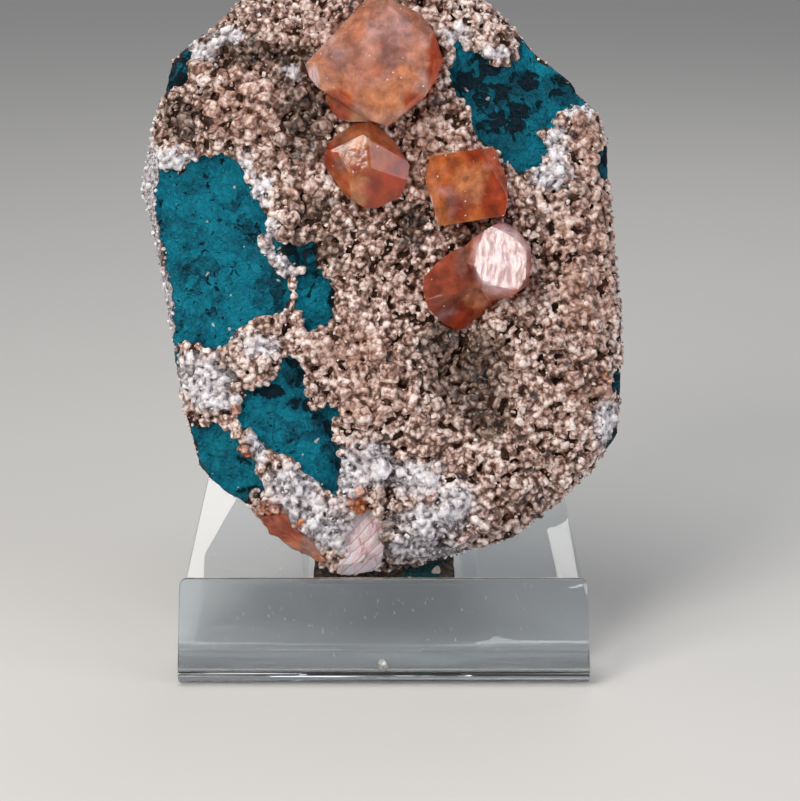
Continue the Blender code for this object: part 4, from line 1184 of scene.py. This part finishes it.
class SPECIMEN_OT_rock(bpy.types.Operator):
    """Dress the rock with its celadonite windows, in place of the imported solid"""

    bl_idname = "specimen.rock"
    bl_label = "Rock"

    def execute(self, context):
        settings = context.scene.specimen_rock
        rock = solid_copy("heulandite_matrix", "matrix_rock")
        apply_modifier(rock, "REMESH", mode="VOXEL", voxel_size=settings.voxel)
        self.weigh(rock)
        self.roughen(rock, "broken", "CLOUDS", 7.0, settings.broken_depth, 1.0)
        self.roughen(rock, "broken", "VORONOI", 4.0, 0.5 * settings.broken_depth, 1.0)
        self.roughen(rock, "crusted", "CLOUDS", 1.6, settings.crust_depth, 0.5)
        self.roughen(rock, "windows", "CLOUDS", 2.8, settings.window_depth, 0.5)
        rock.vertex_groups.clear()
        self.mark(rock)
        bpy.ops.object.shade_smooth()
        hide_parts("heulandite_matrix")
        dress(rock, basalt_with_celadonite(settings))
        return {"FINISHED"}

    def weigh(self, rock):
        """Vertex groups of the broken sides and back, the crust's ground and the windows."""
        places = coordinates(rock.data)
        facing = np.array([tuple(vert.normal) for vert in rock.data.vertices]) @ AXIS_W
        w = face_uvw(places)[:, 2]
        behind = np.clip((BROKEN_START - w) / BROKEN_BLEND, 0, 1)
        broken = np.clip(behind - np.clip(facing, 0, 1), 0, 1)
        window = window_distance(pixels_of(places))
        groups = {
            "broken": broken,
            "crusted": (1 - behind) * (window < 0.3),
            "windows": (1 - behind) * np.clip(window, 0, 1),
        }
        for name, weights in groups.items():
            group = rock.vertex_groups.new(name=name)
            for number in np.flatnonzero(weights > 0.01):
                group.add([int(number)], float(weights[number]), "REPLACE")

    def roughen(self, rock, group, kind, size, depth, middle):
        """Push a group of vertices in and out by a texture."""
        texture = bpy.data.textures.new(f"{group}_{kind.lower()}", kind)
        texture.noise_scale = size * MM
        apply_modifier(
            rock, "DISPLACE", texture=texture, texture_coords="LOCAL", strength=depth,
            mid_level=middle, vertex_group=group,
        )

    def mark(self, rock):
        """Store what the material reads."""
        places = coordinates(rock.data)
        seen = pixels_of(places)
        w = face_uvw(places)[:, 2]
        far = -9.0
        store(rock.data, "window", np.where(w > WINDOW_END, window_distance(seen), far))
        # Painted shade: how far each spot lies where the windows sink
        store(rock.data, "sunk_shade", zone_weight(seen, SHADED_CELADONITE_PX))
        # Painted glow: under the calcite the rock is painted pale, so the crystals glow
        glowing_pocket = np.clip(-calcite_distance(seen) / UNDER_CALCITE_PX, 0, 1)
        store(rock.data, "white", np.maximum(zone_weight(seen, WHITE_PX), glowing_pocket))
        # Dark brown under the crust: partly stain, partly painted shade
        store(rock.data, "crust", np.clip((w - STAIN_AND_SHADE_END) / STAIN_AND_SHADE_BLEND, 0, 1))


class SPECIMEN_OT_crust(bpy.types.Operator):
    """Grow the heulandite over the rock, a mass in each area and druse on top, and the agate"""

    bl_idname = "specimen.crust"
    bl_label = "Crust"

    def execute(self, context):
        settings = context.scene.specimen_crust
        chance = np.random.default_rng(settings.seed)
        patterns = [crystal_pattern(*crystal) for crystal in CRYSTALS]
        grains = [crystal_pattern(*grain) for grain in GRAINS]
        rock = bpy.data.objects["matrix_rock"]
        ground = self.ground(rock, chance)
        crystals = self.sprout(*ground, settings.spacing, settings.crystal, 2, chance)
        self.grow_masses(crystals, patterns, settings, chance)
        small = self.sprout(*ground, settings.druse_spacing, settings.druse, 1, chance)
        self.grow_druse(small, grains, settings, chance)
        self.grow_agate(rock)
        for pattern in patterns + grains:
            bpy.data.objects.remove(pattern)
        return {"FINISHED"}

    def ground(self, rock, chance):
        """Spots on the rock where crystals may grow, and the rock's normals there."""
        spots, normals = face_samples(rock.data, GROUND_SPOTS, chance)
        seen = pixels_of(spots)
        window = window_distance(seen) + chance.normal(scale=WINDOW_SHAKE, size=len(spots))
        free = (face_uvw(spots)[:, 2] > CRUST_END) & (normals @ np.array(AXIS_W) > -0.2)
        free &= (window < -WINDOW_MARGIN) & (calcite_distance(seen) > -UNDER_CALCITE_PX)
        for x, y, radius in HOLES_PX:
            free &= np.hypot(seen[:, 0] - x, seen[:, 1] - y) > radius
        return spots[free], normals[free]

    def sprout(self, spots, normals, spacing, length, fan, chance):
        """Places, axes and sizes of crystals, a fan of them on each spot."""
        seen = pixels_of(spots)
        rim = inside_distance(seen, OUTLINE_PX) * FACE_SCALE / MM
        # They stay smaller near the outline and the windows, and in the white zones
        growth = np.clip(0.45 + rim / RIM_WIDTH, 0.42, 1)
        growth *= np.clip(0.6 - 0.25 * window_distance(seen), 0.6, 1)
        growth *= 1 - 0.28 * zone_weight(seen, WHITE_PX)
        places, axes, sizes = [], [], []
        # The small ones are thinned on their own, since they stand closer together
        for low, high, closer in ((0.74, 1.1, 1.0), (0.0, 0.74, 0.66)):
            chosen = np.flatnonzero((growth >= low) & (growth < high))
            kept = chosen[thinned(spots[chosen], spacing * closer)]
            lean = unit(normals[kept] + chance.normal(scale=FAN_LEAN, size=(len(kept), 3)))
            lean = np.repeat(lean, fan, axis=0)
            lean += FAN_SPREAD * chance.normal(size=lean.shape)
            share = np.repeat(growth[kept], fan)
            lean += (1 - share)[:, None] * TURN_OUT * np.array(AXIS_W)
            size = length * share * chance.uniform(0.62, 1.2, len(lean))
            # A few outgrow the rest
            size *= np.where(chance.random(len(lean)) > 0.93, 1.3, 1.0)
            places.append(np.repeat(spots[kept], fan, axis=0))
            axes.append(unit(lean))
            sizes.append(size)
        return np.concatenate(places), np.concatenate(axes), np.concatenate(sizes)

    def stand(self, crystals, patterns, raised, chance):
        """Kinds, places and turns of crystals on their spots."""
        spots, axes, sizes = crystals
        kinds = chance.integers(0, len(patterns), len(spots))
        # A pattern lies along Y with its broad faces to Z, so the columns are swapped
        turns = stand_up(axes, chance)[:, :, [0, 2, 1]] * np.array([1, 1, -1])
        lift = sizes * (raised + chance.uniform(-0.12, 0.14, len(spots)))
        return kinds, spots + axes * lift[:, None], turns

    def grow_masses(self, crystals, patterns, settings, chance):
        """The crystals of each area, fused to one closed surface."""
        kinds, places, turns = self.stand(crystals, patterns, 0.1, chance)
        sizes = crystals[2]
        seen = pixels_of(places)
        centres = np.array(list(CRUST_AREAS_PX.values()))
        away = np.linalg.norm(seen[:, None] - centres[None], axis=2)
        area = np.argmin(away + AREA_BLUR_PX * chance.normal(size=away.shape), axis=1)
        material = heulandite("heulandite_mass", settings, 0.3)
        for number, name in enumerate(CRUST_AREAS_PX):
            here = np.flatnonzero(area == number)
            mass, _ = joined_copies(
                name, patterns, kinds[here], places[here], turns[here], sizes[here]
            )
            apply_modifier(mass, "REMESH", mode="VOXEL", voxel_size=settings.voxel)
            apply_modifier(mass, "SMOOTH", factor=0.35, iterations=1)
            bpy.ops.object.shade_smooth()
            self.mark(mass, places[here], chance)
            dress(mass, material)

    def mark(self, mass, places, chance):
        """Store what the material reads, part of it from each vertex's nearest crystal."""
        tree = KDTree(len(places))
        for number, place in enumerate(places.tolist()):
            tree.insert(place, number)
        tree.balance()
        spots = coordinates(mass.data)
        nearest = np.array([tree.find(spot)[1] for spot in spots.tolist()])
        # Painted light and shade: crests are painted paler and hollows darker by how far each
        # vertex stands out
        store(mass.data, "crest", 0.5 + 0.85 * proudness(mass.data, 12))
        self.shade(mass, places, nearest, chance)

    def shade(self, mass, places, owners, chance):
        """Store each crystal's own tint and zones on the vertices that belong to it."""
        store(mass.data, "tint", chance.random(len(places))[owners])
        blur = chance.normal(scale=ZONE_BLUR_PX, size=(len(places), 2))
        seen = pixels_of(places) + blur
        for fact, zones in CRUST_ZONES.items():
            store(mass.data, fact, zone_weight(seen, zones)[owners])

    def grow_druse(self, crystals, patterns, settings, chance):
        """Small sharp crystals on and between the masses, which glint."""
        kinds, places, turns = self.stand(crystals, patterns, 0.9, chance)
        druse, owners = joined_copies(
            "heulandite_druse", patterns, kinds, places, turns, crystals[2]
        )
        crest = 0.5 + 0.5 * chance.random(len(places))
        store(druse.data, "crest", crest[owners])
        self.shade(druse, places, owners, chance)
        dress(druse, heulandite("heulandite_druse", settings, 0.14))

    def grow_agate(self, rock):
        """A ring of agate around the dark core of an old gas bubble, at the lower left rim."""
        surface = BVHTree.FromObject(rock, bpy.context.evaluated_depsgraph_get())
        spot = surface.ray_cast(face_point(*AGATE_PX, 20 * MM), -AXIS_W)[0]
        facing = AXIS_W.to_track_quat("Z", "Y").to_euler()
        bpy.ops.object.select_all(action="DESELECT")
        bpy.ops.mesh.primitive_uv_sphere_add(
            segments=16, ring_count=10, radius=AGATE_CORE, location=spot - 0.3 * MM * AXIS_W
        )
        core = bpy.context.active_object
        bpy.ops.mesh.primitive_torus_add(
            major_segments=36, minor_segments=14, major_radius=AGATE_RADIUS,
            minor_radius=AGATE_BAND, location=spot, rotation=facing,
        )
        agate = bpy.context.active_object
        agate.name = "agate_ring"
        ring_points = len(agate.data.vertices)
        core.select_set(True)
        bpy.ops.object.join()
        bpy.ops.object.transform_apply(location=True, rotation=True, scale=True)
        bpy.ops.object.shade_smooth()
        on_ring = np.arange(len(agate.data.vertices)) < ring_points
        facts = {
            "crest": (0.6, 0.0), "tint": (0.5, 0.0), "white": (0.35, 0.0), "dark_and_shade": (0.3, 1.0),
        }
        for fact, (outer, inner) in facts.items():
            store(agate.data, fact, np.where(on_ring, outer, inner))
        dress(agate, bpy.data.materials["heulandite_mass"])


class SPECIMEN_OT_calcite(bpy.types.Operator):
    """Give each calcite crystal rounded edges, its own depth of colour and healed cracks"""

    bl_idname = "specimen.calcite"
    bl_label = "Calcite"

    def execute(self, context):
        settings = context.scene.specimen_calcite
        peach, orange = tuple(settings.peach), tuple(settings.orange)
        red, pale = tuple(settings.red), tuple(settings.milky_and_glint)
        # Each node's material, body colour, least and most clearness, depth and stain of
        # light, relief of its faces and share of blades
        kinds = {
            "calcite_upper_pair": ("peach_calcite", peach, (0.25, 0.72), 5.0, 30.0, 0.06, 0),
            "calcite_rhomb": ("orange_calcite", orange, (0.25, 0.75), 5.0, 40.0, 0.05, 0),
            "calcite_lower_twin": ("red_calcite", red, (0.3, 0.75), 4.0, 120.0, 0.14, 0),
            "calcite_tip": ("bladed_calcite", pale, (0.05, 0.3), 2.0, 20.0, 0.7, 1),
            "calcite_edge": ("brown_calcite", orange, (0.3, 0.7), 3.0, 90.0, 1.4, 0),
        }
        chance = np.random.default_rng(CRACK_SEED)
        cracks = []
        for node, (name, body, *looks) in kinds.items():
            crystal = solid_copy(node, node.replace("calcite_", "grown_"))
            self.round_edges(crystal, settings.edge)
            if node == "calcite_edge":
                self.splinter(crystal)
            self.mark(crystal)
            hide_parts(node)
            material = calcite(name, settings, body, *looks)
            dress(crystal, material)
            cracks += self.crack(crystal, chance)
        bpy.ops.object.select_all(action="DESELECT")
        for sheet in cracks:
            sheet.select_set(True)
        context.view_layer.objects.active = cracks[0]
        bpy.ops.object.join()
        cracks[0].name = "healed_cracks"
        bpy.ops.object.shade_smooth()
        dress(cracks[0], healed_fractures())
        return {"FINISHED"}

    def round_edges(self, crystal, width):
        """Join the triangles of each facet, round the edges and divide the facets."""
        select_only(crystal)
        whole_mesh(bpy.ops.mesh.dissolve_limited, angle_limit=math.radians(1.5))
        apply_modifier(
            crystal, "BEVEL", width=width, segments=2, limit_method="ANGLE",
            angle_limit=math.radians(8), harden_normals=False,
        )
        apply_modifier(crystal, "SUBSURF", subdivision_type="SIMPLE", levels=3, render_levels=3)
        bpy.ops.object.shade_smooth_by_angle(angle=math.radians(7))

    def splinter(self, crystal):
        """Break a crystal's faces up into small glassy steps."""
        texture = bpy.data.textures.new("splintered", "VORONOI")
        texture.noise_scale = 2.6 * MM
        texture.distance_metric = "MANHATTAN"
        apply_modifier(
            crystal, "DISPLACE", texture=texture, texture_coords="LOCAL", strength=1.1 * MM,
            mid_level=0.55,
        )
        bpy.ops.object.shade_smooth_by_angle(angle=math.radians(20))

    def mark(self, crystal):
        """Store the colour zones that the material reads."""
        seen = pixels_of(coordinates(crystal.data))
        for fact, zones in CALCITE_ZONES.items():
            store(crystal.data, fact, zone_weight(seen, zones))
        # A chance number for each facet, made from the way that it faces, which sets its painted
        # light or shade
        faces = crystal.data.polygons
        normals = np.empty(len(faces) * 3, np.float32)
        faces.foreach_get("normal", normals)
        key = np.round(normals.reshape(-1, 3), 1) @ np.array([12.9898, 78.233, 37.719])
        layer = crystal.data.attributes.new("facet", "FLOAT", "FACE")
        layer.data.foreach_set("value", np.abs(np.sin(key)).astype(np.float32))

    def crack(self, crystal, chance):
        """Wavy sheets at random places inside a crystal, most along its cleavages."""
        shell = BVHTree.FromObject(crystal, bpy.context.evaluated_depsgraph_get())
        spots = coordinates(crystal.data)
        low, high = spots.min(axis=0), spots.max(axis=0)
        reach = float(np.min(high - low))
        sheets = []
        for _ in range(int(CRACK_TRIES * reach / CRACK_REACH)):
            place = Vector(low + chance.random(3) * (high - low))
            nearest, normal, _, away = shell.find_nearest(place)
            if (place - nearest).dot(normal) > 0 or away < CRACK_MARGIN:
                continue
            bpy.ops.object.select_all(action="DESELECT")
            bpy.ops.mesh.primitive_circle_add(
                vertices=14, radius=1.0, fill_type="TRIFAN", location=(0, 0, 0)
            )
            sheet = bpy.context.active_object
            width = min(0.92 * away, CRACK_WIDEST)
            axis = Vector(CLEAVAGES[int(chance.integers(3))])
            axis = (axis + 0.35 * Vector(chance.normal(size=3))).normalized()
            turn = axis.to_track_quat("Z", "Y").to_matrix()
            for vert in sheet.data.vertices:
                ragged = width * chance.uniform(0.55, 1.0)
                spot = vert.co * ragged + Vector((0, 0, 0.12 * width * chance.normal()))
                spot *= min(1.0, width / max(spot.length, 1e-6))
                vert.co = turn @ spot + place
            sheets.append(sheet)
        return sheets


class SPECIMEN_OT_easel(bpy.types.Operator):
    """Polish the acrylic easel and put the small drop of glue on its lip"""

    bl_idname = "specimen.easel"
    bl_label = "Easel"

    def execute(self, context):
        settings = context.scene.specimen_easel
        easel = solid_copy("acrylic_easel", "polished_easel")
        whole_mesh(bpy.ops.mesh.dissolve_limited, angle_limit=math.radians(1))
        apply_modifier(
            easel, "BEVEL", width=settings.edge, segments=3, limit_method="ANGLE",
            angle_limit=math.radians(50),
        )
        bpy.ops.object.shade_smooth_by_angle(angle=math.radians(35))
        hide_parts("acrylic_easel")
        dress(easel, clear_acrylic(settings))
        easel.data.materials.append(sawn_acrylic(settings))
        for face in easel.data.polygons:
            on_lip = face.center.z > LIP_HEIGHT - 0.6 * MM and face.center.y < 0
            if abs(face.normal.x) > 0.7 or (on_lip and face.normal.z > 0.7):
                face.material_index = 1
        dress(self.glue_drop(settings.drop), dried_cement())
        return {"FINISHED"}

    def glue_drop(self, width):
        """A flat drop on the outside of the lip."""
        y = LIP_FRONT_Y + GLUE_HEIGHT * math.tan(LIP_LEAN) + 0.3 * MM
        bpy.ops.object.select_all(action="DESELECT")
        bpy.ops.mesh.primitive_uv_sphere_add(
            segments=24, ring_count=16, radius=0.5 * width, location=(GLUE_X, y, GLUE_HEIGHT)
        )
        drop = bpy.context.active_object
        drop.name = "glue_drop"
        whole_mesh(bpy.ops.transform.resize, value=(0.85, 0.4, 1.1))
        bpy.ops.object.transform_apply(location=True, rotation=True, scale=True)
        bpy.ops.object.shade_smooth()
        return drop


class SPECIMEN_OT_studio(bpy.types.Operator):
    """Set up the pale floor, the soft lights and the camera"""

    bl_idname = "specimen.studio"
    bl_label = "Studio"

    def execute(self, context):
        settings = context.scene.specimen_stage
        self.lay_floor(settings)
        # The key light stands where the twin's front facet mirrors it into the camera
        self.hang_light("key_light", (-0.38, -0.55, 0.49), 0.34, settings.key_power, "FFF8F1")
        self.hang_light("top_light", (-0.2, -0.2, 0.85), 0.5, settings.top_power, "FFFFFF")
        self.hang_light("fill_light", (0.62, -0.45, 0.3), 0.5, settings.fill_power, "F2F5FF")
        self.hang_light("back_light", (0.2, 0.6, 0.6), 0.4, 0.4 * settings.fill_power, "FFFFFF")
        world = bpy.data.worlds.new("studio")
        world.use_nodes = True
        background = world.node_tree.nodes["Background"]
        background.inputs["Color"].default_value = srgb("DCDFE4")
        background.inputs["Strength"].default_value = 0.3
        context.scene.world = world
        context.scene.view_settings.view_transform = "Standard"
        self.place_camera(context)
        return {"FINISHED"}

    def lay_floor(self, settings):
        """A wide sheet of plain pale card, a hair low so that light gets under the easel."""
        bpy.ops.object.select_all(action="DESELECT")
        bpy.ops.mesh.primitive_plane_add(size=3.0, location=(0, 0, -0.3 * MM))
        floor = bpy.context.active_object
        floor.name = "pale_floor"
        material, _, shader = new_material("pale_card")
        shader.inputs["Base Color"].default_value = tuple(settings.floor)
        shader.inputs["Roughness"].default_value = 0.6
        floor.data.materials.append(material)

    def hang_light(self, name, place, size, power, colour):
        """A square softbox that looks at the middle of the stone."""
        lamp = bpy.data.lights.new(name, "AREA")
        lamp.energy = power
        lamp.size = size
        lamp.color = srgb(colour)[:3]
        made = bpy.data.objects.new(name, lamp)
        made.location = place
        aim = STONE_MIDDLE - Vector(place)
        made.rotation_euler = aim.to_track_quat("-Z", "Y").to_euler()
        bpy.context.scene.collection.objects.link(made)

    def place_camera(self, context):
        """The photograph's view: square to the stone's face, down by its lean."""
        lens = bpy.data.cameras.new("photo_view")
        lens.sensor_fit = "HORIZONTAL"
        lens.sensor_width = SENSOR_WIDTH
        lens.lens = SENSOR_WIDTH * VIEW_DISTANCE / (PHOTO_WIDTH_PX * FACE_SCALE)
        lens.clip_start = 0.01
        camera = bpy.data.objects.new("photo_view", lens)
        camera.location = face_point(*VIEW_CENTRE_PX) + AXIS_W * VIEW_DISTANCE
        camera.rotation_euler = (math.radians(90) - FACE_LEAN, 0, 0)
        context.scene.collection.objects.link(camera)
        context.scene.camera = camera


class SPECIMEN_PT_panel(bpy.types.Panel):
    """The specimen's steps, in the order in which they are run"""

    bl_label = "Specimen"
    bl_idname = "SPECIMEN_PT_panel"
    bl_space_type = "VIEW_3D"
    bl_region_type = "UI"
    bl_category = "Specimen"

    def draw(self, context):
        for group, operator in STEPS:
            box = self.layout.box()
            settings = getattr(context.scene, group)
            for name in settings.__annotations__:
                box.prop(settings, name)
            box.operator(operator)


STEPS = (
    ("specimen_rock", "specimen.rock"),
    ("specimen_crust", "specimen.crust"),
    ("specimen_calcite", "specimen.calcite"),
    ("specimen_easel", "specimen.easel"),
    ("specimen_stage", "specimen.studio"),
)
GROUPS = {
    "specimen_rock": SpecimenRockSettings,
    "specimen_crust": SpecimenCrustSettings,
    "specimen_calcite": SpecimenCalciteSettings,
    "specimen_easel": SpecimenEaselSettings,
    "specimen_stage": SpecimenStageSettings,
}
CLASSES = (
    *GROUPS.values(), SPECIMEN_OT_rock, SPECIMEN_OT_crust, SPECIMEN_OT_calcite,
    SPECIMEN_OT_easel, SPECIMEN_OT_studio, SPECIMEN_PT_panel,
)


def register():
    """Register the classes and hang their settings on the scene."""
    for cls in CLASSES:
        bpy.utils.register_class(cls)
    for name, group in GROUPS.items():
        setattr(bpy.types.Scene, name, PointerProperty(type=group))


def unregister():
    """Take the settings off the scene and drop the classes."""
    for name in GROUPS:
        delattr(bpy.types.Scene, name)
    for cls in reversed(CLASSES):
        bpy.utils.unregister_class(cls)


def main():
    """Dress the whole specimen."""
    register()
    bpy.ops.specimen.rock()
    bpy.ops.specimen.crust()
    bpy.ops.specimen.calcite()
    bpy.ops.specimen.easel()
    bpy.ops.specimen.studio()


if __name__ == "__main__":
    main()
